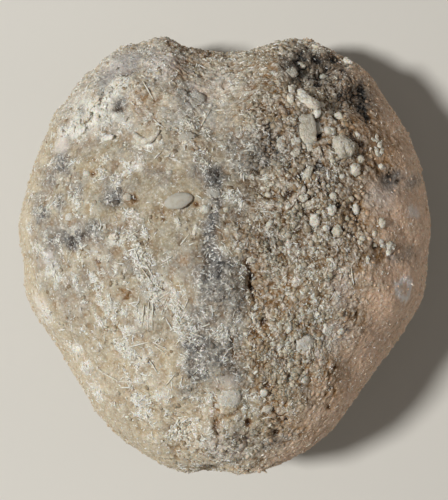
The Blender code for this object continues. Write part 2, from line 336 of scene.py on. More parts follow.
    def settled(self, angle: Array, fall: Array, extra: Array | float = 0.0) -> Array:
        """Points of the worn body: the plain body, its relief along the normals, and the flat rest.

        Args:
            angle: directions round the upright axis.
            fall: ways down from the crown.
            extra: further height along the normals.

        Returns:
            Places in the frame's axes, none below the surface that the fossil rests on.
        """
        smooth = self.smooth_skin(angle, fall)
        x, y, z = np.moveaxis(smooth, -1, 0)
        out = np.sin(fall)
        over = fall <= HALF_TURN / 2
        relief = np.where(over, self.back_relief(x, y, out), self.base_relief(x, y, out))
        above_rest = np.where(over, 1.0, smooth_step(0.3, 0.7, out))
        near_rim = smooth_step(0.8, 1.0, out)
        relief = relief + self.end_relief(x, y, z)
        relief = relief + self.swells(smooth) * above_rest * (1.0 - 0.8 * near_rim) + extra
        point = smooth + self.normals(angle, fall) * relief[..., None]
        point -= (*self.middle, self.rest_sink)
        point[..., 2] = np.maximum(point[..., 2], 0.0)
        return point


def line_distance(x: Array, y: Array, line: Line) -> tuple[Array, Array]:
    """Distance in plan to a line of points, and how far along the line its nearest place is.

    Args:
        x: places across.
        y: places along.
        line: the line's points.

    Returns:
        The distance, and the share of the line's length from 0 to 1.
    """
    points = np.array(line, float)
    lengths = np.linalg.norm(np.diff(points, axis=0), axis=1)
    starts = np.concatenate([[0.0], np.cumsum(lengths)])
    nearest = np.full(np.shape(x), 1e9)
    along = np.zeros(np.shape(x))
    for i, length in enumerate(lengths):
        (x0, y0), (x1, y1) = points[i], points[i + 1]
        t = np.clip(((x - x0) * (x1 - x0) + (y - y0) * (y1 - y0)) / length**2, 0.0, 1.0)
        distance = np.hypot(x - x0 - t * (x1 - x0), y - y0 - t * (y1 - y0))
        closer = distance < nearest
        nearest = np.where(closer, distance, nearest)
        along = np.where(closer, (starts[i] + t * length) / starts[-1], along)
    return nearest, along


# ---------------------------------------------------------------- plan places and patches


@dataclass(frozen=True)
class PlanEye:
    """The eye straight above the fossil from which plan places are read, and the level they lie on."""

    across: float = -0.05
    along: float = 0.34
    height: float = 160.0
    level: float = 11.5

    def plan(self, points: Array) -> Array:
        """Plan places of points: each is carried along its line of sight to the level of the rim."""
        spread = (self.height - self.level) / (self.height - points[..., 2])
        return (points[..., :2] - (self.across, self.along)) * spread[..., None]

    def under(self, plan: Array, height: Array) -> Array:
        """The x and y of plan places on lines of sight at some height."""
        shrink = (self.height - height) / (self.height - self.level)
        return plan * shrink[..., None] + (self.across, self.along)


@dataclass(frozen=True)
class Patch:
    """An oval patch in plan, turned anticlockwise by some degrees, with a soft uneven edge."""

    across: float
    along: float
    half_long: float
    half_wide: float
    turn: float = 0.0
    strength: float = 1.0
    edge: float = 1.6

    def cover(self, plan: Array) -> Array:
        """How much of the patch is at each place: its strength times exp(-(oval distance)^(2 edge))."""
        x, y = plan[..., 0] - self.across, plan[..., 1] - self.along
        turn = math.radians(self.turn)
        u = (x * math.cos(turn) + y * math.sin(turn)) / self.half_long
        v = (-x * math.sin(turn) + y * math.cos(turn)) / self.half_wide
        return self.strength * np.exp(-((u * u + v * v) ** self.edge))


def covered(patches: tuple[Patch, ...], plan: Array) -> Array:
    """How much at least one of several patches covers each place, from 0 to 1."""
    bare = np.ones(plan.shape[:-1])
    for patch in patches:
        bare = bare * (1.0 - patch.cover(plan))
    return 1.0 - bare


def crusted(plan: Array) -> Array:
    """How much white crust lies at each place; it's thin where the stone is blue-grey."""
    return covered(WHITE_CRUST, plan) * (1.0 - 0.8 * covered(BLUE_GREY, plan))


def rim_band(fall: Array, low: float, high: float) -> Array:
    """1 in a band round the rim that opens between two falls on the back, and 0 away from it."""
    return smooth_step(low, high, fall) * smooth_step(1.95, 1.7, fall)


def ovals(*rows: tuple[float, ...]) -> tuple[Patch, ...]:
    """Patches from rows of across, along, half length, half width, turn in degrees and strength."""
    return tuple(Patch(*row) for row in rows)


BLUE_GREY = ovals(
    (-1.2, 8.2, 1.3, 1.7, 20, 0.95), (-1.0, 6.4, 0.8, 1.2, 0, 0.9), (-1.4, 2.9, 0.9, 2.8, 0, 0.95),
    (-1.3, -0.6, 1.2, 2.0, 0, 0.95), (-0.6, -2.2, 1.9, 1.5, 0, 0.85), (-1.1, -4.4, 1.9, 2.2, 0, 0.8),
    (1.4, -5.8, 1.6, 2.2, 0, 0.5), (-2.6, -8.0, 2.0, 1.8, 0, 0.7), (0.6, -9.4, 1.7, 2.2, 0, 0.65),
    (-3.2, -11.0, 1.9, 1.8, 0, 1.0), (-0.2, -12.2, 2.0, 1.6, -30, 0.8), (-3.2, -14.0, 1.8, 1.6, 0, 0.9),
    (1.4, -2.6, 1.2, 2.0, 0, 0.4), (-2.2, -2.8, 0.9, 1.3, 0, 0.6), (2.0, 5.6, 1.4, 2.0, 0, 0.35),
    (-3.2, 9.4, 1.0, 0.8, 0, 0.3), (7.2, 11.8, 1.4, 1.6, 0, 0.4), (0.8, -14.2, 1.2, 0.9, 30, 0.6),
    (-4.0, -16.2, 1.0, 1.0, 0, 0.5), (-4.1, 13.2, 0.9, 0.7, 0, 0.6), (-4.2, 17.6, 1.0, 2.2, 0, 0.5),
    (2.2, 12.0, 2.8, 2.2, 10, 0.55), (5.2, 11.0, 1.8, 1.6, 0, 0.6), (2.2, 9.4, 1.8, 1.4, 0, 0.6),
    (2.6, 1.0, 1.2, 3.0, 0, 0.3), (-5.8, 11.4, 1.4, 1.4, 0, 0.35), (-18.3, 9.8, 1.1, 1.2, 0, 0.9),
    (-19.8, 8.3, 0.8, 1.2, 0, 0.7), (-18.8, 5.4, 0.7, 0.9, 0, 0.8), (-21.0, 4.1, 1.0, 1.1, 0, 0.85),
    (-16.8, 6.6, 0.7, 0.9, 0, 0.6), (-12.7, 6.1, 1.1, 1.2, 0, 0.95), (-17.3, 1.6, 1.5, 0.9, -10, 0.85),
    (-15.0, 2.4, 1.0, 1.1, 0, 0.8), (-17.0, 0.6, 0.7, 0.8, 0, 0.85), (-19.4, 1.0, 1.2, 1.8, 0, 0.45),
    (-19.2, -1.6, 1.4, 1.0, 0, 0.5), (-11.4, 21.4, 1.6, 1.2, 20, 0.9), (-13.4, 20.0, 1.6, 0.9, 40, 0.6),
    (-14.0, 18.2, 1.0, 0.5, 20, 0.8), (-12.0, 16.8, 1.0, 0.8, 0, 0.9), (-16.0, 15.9, 0.6, 0.7, 0, 0.8),
    (-8.6, 22.4, 2.0, 0.9, 0, 0.4), (-13.8, 15.0, 0.7, 0.5, 0, 0.5), (7.7, 20.4, 1.4, 1.2, 0, 0.8),
    (11.0, 19.6, 1.3, 0.9, 0, 0.8), (15.9, 17.4, 1.1, 1.7, 10, 0.85), (13.9, 17.6, 1.0, 1.2, 0, 0.7),
    (19.4, 8.2, 1.3, 1.2, 0, 0.8), (21.7, 7.7, 0.9, 1.1, 0, 0.5), (21.0, -0.4, 1.2, 1.0, 0, 0.35),
    (9.0, 15.8, 0.8, 1.0, 0, 0.4), (5.4, 1.4, 1.6, 1.6, 0, 0.35), (4.6, -3.4, 1.4, 1.4, 0, 0.35),
    (6.0, -22.0, 2.6, 0.8, 10, 0.6), (-10.4, -2.6, 0.9, 0.7, -30, 0.4), (1.4, -20.8, 0.9, 1.6, 0, 0.3),
    (-1.4, -21.4, 1.4, 2.2, 0, 0.3),
)
# Dark stains; the row at (-3.4, 23.3) along the notch's wall is painted shadow, and the finish deepens the
# dark in hollows as painted shade.
DARK_STAIN_AND_SHADOW = ovals(
    (15.8, 17.3, 1.0, 1.7, 10, 1.0), (15.8, 17.2, 1.3, 2.1, 10, 0.5), (8.6, 21.6, 1.4, 1.2, 0, 0.7),
    (12.0, 21.0, 1.4, 0.8, -30, 0.3), (11.4, 21.2, 3.0, 1.6, -22, 0.25), (5.4, 13.2, 1.1, 1.6, 0, 0.42),
    (4.4, 10.0, 1.2, 1.2, 0, 0.34), (10.6, 22.1, 2.9, 1.2, -20, 0.9), (8.8, 20.9, 1.2, 0.9, -30, 0.8),
    (13.2, 20.9, 1.3, 0.9, -30, 0.8), (10.6, 19.6, 1.2, 0.5, 0, 0.6), (7.0, 21.4, 0.9, 0.8, 0, 0.5),
    (16.2, 15.9, 0.6, 0.7, 0, 0.5), (14.4, 19.4, 1.4, 1.0, -40, 0.4), (14.0, 17.5, 1.2, 1.0, 0, 0.35),
    (8.4, 19.4, 1.2, 1.0, 0, 0.5), (12.4, 18.6, 1.6, 1.0, -30, 0.35), (13.9, 17.5, 0.8, 0.9, 0, 0.5),
    (19.3, 8.4, 0.7, 0.7, 0, 0.45), (-3.4, 23.3, 2.6, 0.4, -20, 0.5), (13.3, 5.4, 0.6, 0.6, 0, 0.6),
    (15.2, 4.4, 0.6, 0.5, 0, 0.5), (17.2, 0.4, 0.8, 0.6, 0, 0.5), (20.2, -1.0, 0.6, 0.5, 0, 0.35),
    (-11.0, 20.3, 0.6, 0.5, 0, 0.6), (-12.2, 16.4, 0.6, 0.6, 0, 0.45), (-17.6, 0.8, 0.6, 0.6, 0, 0.5),
    (-12.4, 5.4, 0.5, 0.6, 0, 0.35), (-1.1, 8.4, 0.7, 0.7, 0, 0.5), (-0.4, -2.0, 0.9, 0.6, 30, 0.4),
    (1.0, -13.6, 0.9, 0.5, -50, 0.45),
)
WHITE_CRUST = ovals(
    (-14.8, 16.1, 2.9, 1.5, 42, 1.0), (-16.6, 14.0, 1.4, 1.2, 0, 1.0), (-12.4, 18.4, 1.7, 1.1, 40, 0.95),
    (-11.9, 15.3, 1.0, 0.6, -20, 0.95), (-13.2, 12.9, 0.8, 0.4, 0, 0.95), (-18.3, 13.4, 0.6, 0.6, 0, 0.95),
    (-19.6, -2.2, 1.0, 0.8, 20, 0.8), (-15.8, -13.6, 0.5, 0.8, 0, 0.95), (-17.0, -11.4, 0.5, 0.8, 30, 0.6),
    (-14.6, -16.2, 0.6, 1.2, 35, 0.5), (-17.6, 2.4, 0.7, 0.4, -20, 0.6), (-12.3, 1.2, 0.8, 0.6, 0, 0.6),
    (-14.4, -0.6, 1.0, 0.4, -20, 0.35), (-8.8, 12.4, 1.2, 0.5, 0, 0.6), (-10.2, 9.6, 1.4, 0.7, 0, 0.5),
    (-7.8, -4.4, 1.2, 1.4, 0, 0.6), (-9.0, -7.4, 1.2, 0.9, 0, 0.5), (-5.2, -21.2, 1.0, 0.7, -20, 0.6),
    (-9.8, -17.0, 0.8, 0.6, 0, 0.5), (8.8, 24.2, 1.8, 0.5, 0, 0.7), (14.1, 21.2, 0.8, 0.5, -30, 0.8),
    (10.5, 23.4, 0.7, 0.4, -30, 0.8), (-4.6, 12.0, 1.0, 0.5, 0, 0.4), (-20.2, -7.6, 0.6, 1.0, 20, 0.5),
    (-10.6, -9.0, 0.9, 0.6, 0, 0.5), (-3.8, 17.4, 0.9, 0.9, 0, 0.4), (-8.0, 21.8, 1.4, 1.0, 0, 0.25),
    (-9.4, -12.6, 0.9, 0.8, 0, 0.4), (-6.6, -16.8, 0.8, 0.8, 0, 0.5),
)
FROST = ovals(
    (-10.4, 9.6, 1.6, 0.8, 20, 0.9), (-8.4, 12.0, 2.4, 1.2, 0, 0.7), (-5.0, 14.4, 2.4, 1.6, -20, 0.8),
    (-6.6, 10.6, 1.4, 1.4, 0, 0.7), (-5.4, 3.0, 1.0, 1.0, -40, 0.9), (-12.6, 1.4, 1.2, 0.9, 0, 0.6),
    (-14.0, -0.8, 2.2, 0.9, -10, 0.4), (-9.0, -1.0, 1.6, 2.2, 20, 0.8), (-6.2, -0.8, 1.6, 0.9, 20, 0.9),
    (-8.2, -4.2, 0.9, 2.6, 10, 0.95), (-3.2, -3.4, 1.2, 1.6, -30, 0.9), (-12.6, -7.0, 1.8, 3.0, 20, 0.7),
    (-15.0, -3.6, 2.4, 2.0, 0, 0.6), (-18.4, -2.4, 1.6, 1.8, 0, 0.5), (-5.0, -8.2, 1.0, 1.6, 20, 0.8),
    (-9.4, -8.4, 1.2, 1.0, 0, 0.7), (-12.2, -11.6, 2.4, 0.9, 0, 0.6), (-9.6, -14.6, 3.0, 1.0, 0, 0.5),
    (-5.0, -13.0, 1.4, 1.4, 0, 0.7), (-6.6, -16.4, 1.6, 1.6, 0, 0.8), (-9.6, -17.6, 1.6, 1.2, -40, 0.8),
    (-4.2, -20.6, 1.4, 1.2, 0, 0.7), (1.6, -14.8, 1.4, 0.8, 30, 0.9), (0.4, -9.0, 0.8, 1.2, 0, 0.6),
    (2.4, -3.0, 0.9, 2.4, 0, 0.6), (4.6, 10.8, 2.2, 2.4, 0, 0.5), (2.0, 13.4, 1.8, 2.0, 0, 0.6),
    (-1.0, 12.4, 1.4, 1.4, 0, 0.8), (-3.0, 15.4, 2.6, 1.0, 0, 0.7), (11.4, 8.6, 2.0, 1.4, 0, 0.8),
    (8.4, 1.8, 3.0, 3.0, 0, 0.6), (10.4, -1.4, 3.0, 2.4, 0, 0.6), (14.4, -2.4, 1.4, 2.6, 10, 0.7),
    (12.4, -12.6, 2.0, 2.0, 0, 0.5), (6.4, -17.0, 2.4, 2.0, 0, 0.5), (8.6, 23.6, 2.4, 0.8, -10, 0.6),
)
# Amber stains; the row at (-3.8, 23.0) along the notch's wall is painted shadow.
AMBER = ovals(
    (15.2, 14.2, 2.6, 3.2, -20, 0.7), (18.4, 10.6, 2.2, 3.2, 0, 0.6), (10.9, 14.0, 1.2, 2.4, 0, 1.0),
    (5.6, 13.2, 1.3, 2.6, 0, 0.9), (14.6, -8.6, 1.8, 2.2, 0, 0.5), (4.0, -4.4, 1.2, 4.8, 0, 0.95),
    (4.6, -11.0, 1.4, 3.6, 0, 0.8), (5.6, -17.6, 1.8, 3.6, 0, 0.85), (14.2, 4.2, 2.8, 3.2, 0, 0.95),
    (6.9, 14.6, 1.4, 3.2, 10, 0.9), (9.8, 8.2, 2.8, 1.8, 0, 0.85), (10.6, 12.2, 2.4, 2.4, 0, 0.8),
    (18.6, -0.2, 1.7, 1.4, 0, 0.8), (12.4, -15.0, 1.8, 3.0, -20, 0.6), (14.9, 16.6, 2.2, 2.8, 0, 0.9),
    (-11.2, -5.4, 1.3, 1.2, 0, 0.6), (-6.8, -5.6, 0.7, 1.0, 0, 0.6), (-4.7, -1.0, 0.7, 0.6, 0, 0.5),
    (9.6, -9.6, 2.2, 1.4, 0, 0.4), (-3.4, 12.0, 1.4, 2.2, 0, 0.25), (-11.0, 5.8, 0.9, 0.8, 0, 0.5),
    (-9.6, 17.0, 1.4, 2.4, 0, 0.35), (-3.8, 23.0, 2.8, 0.6, -18, 0.6), (2.8, 1.6, 1.4, 2.6, 0, 0.5),
    (6.8, -20.8, 2.8, 1.6, 0, 0.6), (-0.9, -20.0, 0.5, 4.0, 0, 0.5), (-5.2, 21.0, 1.6, 1.4, 0, 0.4),
    (9.0, 17.6, 2.0, 1.4, 0, 0.6),
)
DEEP = ovals(
    (9.0, 14.6, 3.6, 4.4, 0, 0.7), (12.0, 12.0, 4.0, 4.6, 0, 0.6), (5.4, 12.8, 2.0, 3.2, 10, 1.0),
    (4.4, 10.0, 1.8, 2.0, 0, 1.0), (20.2, 8.0, 1.8, 2.0, 0, 0.7), (-1.0, -1.4, 1.6, 1.6, 0, 0.8),
    (14.4, -8.4, 2.6, 2.6, 0, 0.7), (-17.4, 1.8, 2.0, 1.2, 0, 0.6), (-15.4, 2.0, 1.4, 1.2, 0, 0.6),
    (8.8, 21.6, 2.6, 1.6, 0, 0.9), (15.6, 17.4, 1.6, 2.0, 0, 1.0), (11.0, 10.0, 6.4, 6.6, 0, 0.9),
    (-4.0, 2.0, 2.8, 3.4, 0, 0.7), (-8.6, 6.2, 3.2, 2.2, 0, 0.4), (-8.6, -2.0, 2.2, 3.4, 0, 0.4),
    (-8.6, -7.0, 2.2, 2.6, 0, 0.5), (10.4, 21.0, 3.6, 2.2, -20, 1.0), (15.2, 17.4, 2.2, 3.0, 20, 1.0),
    (5.0, 13.4, 2.0, 2.8, 0, 0.5), (6.0, 0.6, 3.0, 3.6, 0, 0.6), (3.8, 5.0, 3.2, 4.0, 0, 0.7),
    (4.4, -4.6, 2.6, 5.0, 0, 0.6), (14.6, 16.6, 3.4, 3.6, 0, 0.7), (4.1, 17.2, 2.0, 2.4, 0, 0.5),
    (10.2, 1.0, 6.0, 3.6, 0, 0.8), (18.4, 7.6, 2.6, 3.4, 0, 0.6), (6.4, -12.4, 2.6, 3.0, 0, 0.3),
)
MILK = ovals(
    (21.6, 4.2, 0.6, 0.7, 0, 0.7), (-20.2, -0.9, 1.0, 0.7, 0, 0.6), (-21.0, -6.4, 0.8, 1.2, 10, 0.5),
    (-18.6, 12.0, 0.9, 1.3, 0, 0.5), (19.4, -0.6, 0.7, 1.4, 10, 0.3), (-3.0, 17.8, 1.4, 1.2, 0, 0.35),
    (-0.2, -15.4, 1.6, 1.0, 0, 0.25), (12.8, -10.0, 2.2, 1.6, 20, 0.3), (13.6, -4.6, 1.4, 2.6, 0, 0.25),
    (10.8, -11.8, 1.2, 1.0, 0, 0.3), (18.0, 6.2, 1.6, 2.2, 0, 0.25), (-7.0, 21.4, 2.4, 1.6, 0, 0.4),
    (-12.0, 21.2, 2.2, 1.4, 35, 0.35), (0.0, 19.4, 2.6, 1.6, 0, 0.2), (0.2, -22.8, 3.4, 1.8, 0, 0.3),
)
BARE = ovals(
    (-8.9, 13.2, 1.8, 1.1, 0, 0.95), (15.4, 14.2, 2.4, 3.2, -20, 0.9), (18.2, 10.4, 2.4, 3.4, 0, 0.85),
    (7.2, 15.4, 1.2, 3.2, 0, 0.6), (10.8, 14.4, 1.6, 2.8, 0, 0.85), (16.6, 17.6, 1.6, 2.4, 20, 0.8),
    (13.8, 4.6, 2.4, 2.0, 0, 0.6), (18.4, 0.6, 1.8, 1.6, 0, 0.6), (17.4, 5.2, 1.8, 2.4, 0, 0.6),
    (11.0, 10.2, 1.6, 1.2, 0, 0.7), (14.8, 7.4, 1.6, 1.0, 0, 0.5), (4.0, -3.4, 0.8, 3.0, 0, 0.5),
    (5.0, -17.0, 1.2, 2.6, 0, 0.4), (-15.0, 11.6, 2.0, 1.3, 10, 0.95), (-18.9, 11.4, 1.0, 1.4, 0, 0.8),
    (-10.0, 10.8, 1.6, 0.8, 10, 0.8), (-7.6, 9.0, 2.6, 1.2, 0, 0.85), (-9.6, 16.4, 1.3, 1.8, 0, 0.6),
    (0.5, 16.0, 2.2, 3.6, 0, 0.6), (-10.6, 2.8, 1.4, 1.2, 0, 0.7), (-6.2, 1.0, 2.2, 1.6, 0, 0.6),
    (-3.9, -3.8, 1.3, 3.2, 0, 0.75), (-7.4, -2.2, 1.0, 1.0, 0, 0.7), (-16.4, -11.0, 1.0, 3.6, 30, 0.8),
    (-13.2, -14.6, 0.9, 2.8, 38, 0.8), (-6.2, -12.4, 1.4, 2.0, 0, 0.5), (-9.2, -14.0, 1.4, 1.0, 0, 0.5),
    (-4.6, 7.8, 1.6, 1.4, 0, 0.6), (-14.6, 5.0, 1.4, 1.8, 0, 0.5), (-1.8, -19.0, 1.2, 2.0, 0, 0.6),
    (-8.6, 6.4, 3.4, 1.6, 0, 0.7), (-5.0, -1.4, 2.4, 2.6, 0, 0.6), (-8.6, -0.4, 1.4, 1.6, 0, 0.5),
    (-9.0, -6.6, 1.0, 2.0, 0, 0.4), (-1.2, 1.4, 0.8, 3.0, 0, 0.8), (-1.6, -5.2, 1.2, 1.6, 0, 0.5),
    (-2.6, -7.4, 1.4, 1.4, 0, 0.5),
)


class Side(Enum):
    """The faces of the fossil that wear differently."""

    FINE = "fine"
    COARSE = "coarse"
    FLANK = "flank"
    UNDER = "under"


@dataclass
class Skin:
    """The fossil's stone skin: where each point of it is, and what marks it carries there."""

    form: UrchinForm
    eye: PlanEye
    pits: Rows = (
        (8.7, 21.9, 1.2), (9.6, 21.1, 1.0), (10.8, 19.5, 1.0), (12.8, 21.5, 1.3), (6.2, 18.2, 0.6),
        (10.2, 17.8, 0.9), (10.8, 13.2, 1.1), (11.1, 9.8, 1.0), (8.6, 8.7, 0.9), (7.3, 9.5, 0.9),
        (13.4, 5.3, 0.9), (15.5, 4.0, 0.9), (12.6, 1.7, 0.9), (10.2, 2.2, 0.8), (15.9, 18.1, 0.9),
        (16.0, 16.1, 0.9), (13.7, 17.8, 0.9), (16.7, 15.2, 0.7), (19.0, 8.6, 0.6), (19.9, 7.9, 0.5),
        (15.7, 12.4, 0.7), (17.3, 0.5, 0.9), (3.3, -3.0, 0.9), (3.0, -4.3, 1.0), (4.7, -8.1, 0.8),
        (8.6, -8.6, 0.7), (5.3, -16.2, 0.8), (2.7, -19.8, 0.8), (2.4, -21.7, 0.9), (6.1, -21.2, 0.8),
        (7.3, -19.6, 0.7), (14.4, -9.2, 0.4), (12.8, -13.6, 0.45), (12.1, -18.2, 0.5), (9.5, -17.2, 0.5),
        (-4.2, -19.7, 0.6), (-14.4, -1.3, 0.6), (-10.3, 6.1, 0.6), (-15.0, 8.7, 0.6), (-3.2, 5.3, 0.7),
        (-11.2, 20.4, 0.7), (-4.7, -7.8, 0.32), (-11.9, 16.0, 0.7), (7.6, 6.6, 1.2),
    )
    cracks: tuple[Line, ...] = (
        ((-0.8, -18.2), (-1.2, -19.8), (-0.8, -21.6), (-0.6, -23.8)),
        ((0.6, -9.6), (0.9, -11.4), (1.6, -13.0)),
        ((2.5, 0.6), (2.7, -1.8), (3.2, -3.0), (2.9, -5.2)),
        ((-14.3, 0.0), (-14.6, -1.6), (-14.1, -3.0)),
        ((-12.2, -6.1), (-11.2, -5.4), (-10.7, -4.6)),
        ((-10.1, -3.6), (-9.2, -4.6)),
        ((-7.2, 4.8), (-7.0, 3.2)),
        ((10.4, 15.4), (10.6, 13.4), (10.3, 12.0)),
        ((6.2, 16.4), (6.0, 13.6), (6.8, 11.8)),
        ((15.6, 12.4), (17.2, 10.4), (17.6, 9.4)),
        ((-1.2, 5.6), (-0.9, 3.6)),
        ((2.2, -17.8), (2.0, -16.4)),
        ((-4.2, -18.6), (-3.9, -20.4)),
    )
    right_margin: Line = (
        (-24.0, 6.5), (-21.7, 9.0), (-17.2, 11.6), (-11.4, 14.4), (-5.7, 16.9), (0.0, 18.6), (5.7, 18.0),
        (11.4, 18.4), (17.2, 17.4), (21.7, 14.6), (24.0, 13.0),
    )
    shrink: float = 0.08
    left_margin: Line = (
        (-23.5, -5.5), (-21.7, -8.5), (-17.2, -13.0), (-11.4, -16.9), (-5.7, -20.6), (0.0, -22.2),
        (5.7, -22.0), (11.4, -20.2), (14.0, -20.0), (16.0, -26.0),
    )

    def coarseness(self, plan: Array, fall: Array) -> dict[Side, Array]:
        """How far each place belongs to each of the fossil's faces; the shares add up to 1."""
        under = smooth_step(1.62, 1.95, fall)
        across, along = plan[..., 0], plan[..., 1]
        wander = 1.2 * np.sin(0.5 * along + 0.6)
        right = smooth_step(-1.0, 6.0, across + wander)
        front = smooth_step(14.0, 19.0, along) * smooth_step(-14.0, -8.0, across)
        back = smooth_step(-15.0, -19.0, along) * smooth_step(-9.0, -4.0, across)
        right = np.maximum(right, 0.55 * np.maximum(front, back))
        wave = 0.4 * np.sin(1.9 * along) + 0.3 * np.sin(3.7 * along + 1.0)
        smooth_right = smooth_step(-5.5, 1.8, across - np.interp(along, *zip(*self.right_margin)) + wave)
        smooth_left = smooth_step(-0.6, 0.9, np.interp(along, *zip(*self.left_margin)) - across + wave)
        flank = (smooth_right + smooth_left) * (1.0 - under)
        coarse = right * (1.0 - under) * (1.0 - smooth_right)
        fine = 1.0 - under - flank - coarse
        return {Side.FINE: fine, Side.COARSE: coarse, Side.FLANK: flank, Side.UNDER: under}

    def frost(self, point: Array, plan: Array) -> Array:
        """How thickly white fragments gather: smooth noise in two sizes, curved streaks and named clusters.

        The noise is drawn out along a slant, and a streak runs where a third noise crosses 0.
        """
        slant = point.copy()
        slant[..., 0] += 0.3 * point[..., 1]
        drawn = slant * (1.0, 0.5, 1.0)
        broad = smooth_noise(drawn, 1.9, 35)
        small = smooth_noise(drawn, 0.62, 36)
        streak = 1.0 - 2.0 * np.abs(smooth_noise(point, 1.2, 37))
        named = covered(FROST, plan)
        return smooth_step(0.3, 0.66, 0.36 * broad + 0.62 * small + 0.3 * streak + 0.32 * named)

    def round_lumps(self, plan: Array) -> tuple[Array, Array]:
        """How near each place is to the foot of a named lump, and how far it lies under one."""
        foot = np.zeros(plan.shape[:-1])
        under = foot.copy()
        lumps = (*BEADS, *PLATES, *CHIPS, *MILKY, *KNUCKLES, *SLABS, *LENSES)
        for across, along, long, wide, turn, *_ in lumps:
            x, y = plan[..., 0] - across, plan[..., 1] - along
            cos, sin = math.cos(math.radians(turn)), math.sin(math.radians(turn))
            out = 2.0 * np.hypot((x * cos + y * sin) / long, (-x * sin + y * cos) / wide)
            away = 0.5 * (out - 1.0) * min(long, wide)
            foot = np.maximum(foot, min(1.0, long, wide) * bell((away - 0.12) / 0.22))
            under = np.maximum(under, smooth_step(0.15, -0.1, away))
        return foot, under

    def ring(self, plan: Array) -> Array:
        """A soft milky ring on the flank: a bell round an oval line, ragged by the plan's own waves."""
        x, y = (plan[..., 0] - 20.65) / 0.6, (plan[..., 1] + 4.5) / 0.95
        turn = np.arctan2(y, x)
        ragged = 0.12 * np.sin(5.0 * turn + 1.0) + 0.08 * np.sin(11.0 * turn)
        return bell((np.hypot(x, y) - 1.0 - ragged) / 0.42)

    def sunk(self, plan: Array, warp: Array) -> Array:
        """How deep the named pits go at each place: for each, its radius times a bell of uneven width."""
        depth = np.zeros(plan.shape[:-1])
        for across, along, radius in self.pits:
            distance = np.hypot(plan[..., 0] - across, plan[..., 1] - along) * (1.0 + 0.45 * warp[..., 0])
            depth = np.maximum(depth, radius * np.exp(-((distance / (0.55 * radius)) ** 2.4)))
        return depth

    def relief(self, point: Array, plan: Array, fall: Array) -> Marks:
        """The fine relief: swells, broken blocks, knobs with seams between, grains, holes and pits.

        Args:
            point: places on the worn body.
            plan: their plan places.
            fall: their ways down from the crown.

        Returns:
            The height along the normals, how rough the place is, how deep it lies in a pit or a
            seam, and how much amber ground, white crust or frost of fragments there is.
        """
        face = self.coarseness(plan, fall)
        seen = 1.0 - face[Side.UNDER]
        bare = covered(BARE, plan) * seen
        crust = crusted(plan) * seen
        dark_stain_and_shadow = covered(DARK_STAIN_AND_SHADOW, plan) * seen
        amber = covered(AMBER, plan) * seen
        frost = self.frost(point, plan) * seen * (1.0 - 0.8 * bare) * (1.0 - 0.8 * face[Side.FLANK])
        outer = smooth_step(10.0, 17.0, plan[..., 0]) * smooth_step(4.0, -6.0, plan[..., 1])
        rough = 0.36 * face[Side.FINE] + (0.9 - 0.35 * outer) * face[Side.COARSE] + 0.4 * face[Side.UNDER]
        rough += 0.16 * face[Side.FLANK]
        rough *= 0.5 + 0.8 * smooth_step(-0.4, 0.4, smooth_noise(point, 3.0, 31))
        rough = np.clip(rough * (1.0 - 0.8 * bare) + 0.4 * crust + 0.6 * dark_stain_and_shadow + 0.2 * amber, 0.05, 1.4)
        warp = drift(point, 0.9, (71, 72, 73))
        bent = point + 0.28 * warp + 0.10 * drift(point, 0.42, (74, 75, 76))
        knob = cells(bent * (1.0, 0.75, 1.0), 0.95, 24)
        # Seams between knobs; the finish paints shade into them.
        seam = knob.crevice(0.24) * smooth_step(-0.25, 0.35, smooth_noise(point, 1.6, 33))
        seam = seam * np.clip(0.6 * face[Side.COARSE] * rough + amber + 0.08 * face[Side.FINE], 0.0, 1.0)
        height = self.broken(point, bent, face[Side.FINE], rough, frost)
        height += (0.02 + 0.17 * rough) * (knob.value - 0.5 + 0.8 * knob.lean) - 0.24 * seam
        height += self.grainy(point, bent, seen, rough, rim_band(fall, 1.15, 1.4))
        lump = cells(bent, 0.62, 27)
        lumpy = 0.24 * smooth_noise(bent, 0.9, 14) + 0.34 * (lump.value - 0.5) + 0.3 * lump.lean
        height += crust * (0.10 + lumpy)
        pit = self.sunk(plan, warp) * seen
        height -= 0.34 * pit
        for crack in self.cracks:
            distance, along = line_distance(plan[..., 0] + 0.3 * warp[..., 1], plan[..., 1], crack)
            cleft = seen * bell(distance / 0.24) * smooth_step(0.0, 0.2, along) * smooth_step(1.0, 0.8, along)
            cleft = cleft * smooth_step(-0.5, 0.3, warp[..., 2])
            height -= 0.26 * cleft
            seam = np.maximum(seam, 0.6 * cleft)
        foot, stood = self.round_lumps(plan)
        # Each named lump sits in a dip at its foot; the dip joins the seams, whose colour is painted shadow
        # round the lump.
        bed = np.clip(0.2 + face[Side.COARSE], 0.0, 1.0) * foot * seen
        height -= 0.14 * bed + self.shrink
        seam = np.maximum(seam, 0.55 * bed)
        pit = np.clip(1.6 * pit, 0.0, 1.0)
        return {"height": height, "rough": rough, "pit": pit, "seam": seam, "amber": amber, "crust": crust,
                "frost": frost, "stood": stood, "tone": knob.value}

    def broken(self, point: Array, bent: Array, fine: Array, rough: Array, frost: Array) -> Array:
        """Height of the swells, which are smooth noise, and of the broken blocks.

        A block is the part of the skin nearest to one seed point: it stands up or down by a value
        of its own, its top leans its own way, and a crevice parts it from its neighbours.

        Args:
            point: places on the worn body.
            bent: the same places, carried off so that outlines waver.
            fine: how far each belongs to the finer face.
            rough: how rough each place is.
            frost: how thickly white fragments gather there.

        Returns:
            The height along the normals.
        """
        height = (0.04 + 0.10 * rough + 0.16 * fine) * smooth_noise(point, 3.1, 11)
        height += (0.02 + 0.10 * rough + 0.10 * fine) * smooth_noise(bent, 1.5, 12)
        height += 0.06 * fine * smooth_noise(bent, 0.8, 15)
        height += 0.06 * frost + 0.12 * frost * smooth_noise(bent, 0.5, 13)
        block = cells(bent, 1.25, 21)
        height += rough * (0.11 * (block.value - 0.5) + 0.14 * block.lean - 0.08 * block.crevice(0.12))
        block = cells(bent, 0.5, 25)
        height += (0.015 + 0.12 * rough) * (block.value - 0.5 + 0.8 * block.lean)
        return height - 0.05 * rough * block.crevice(0.2)

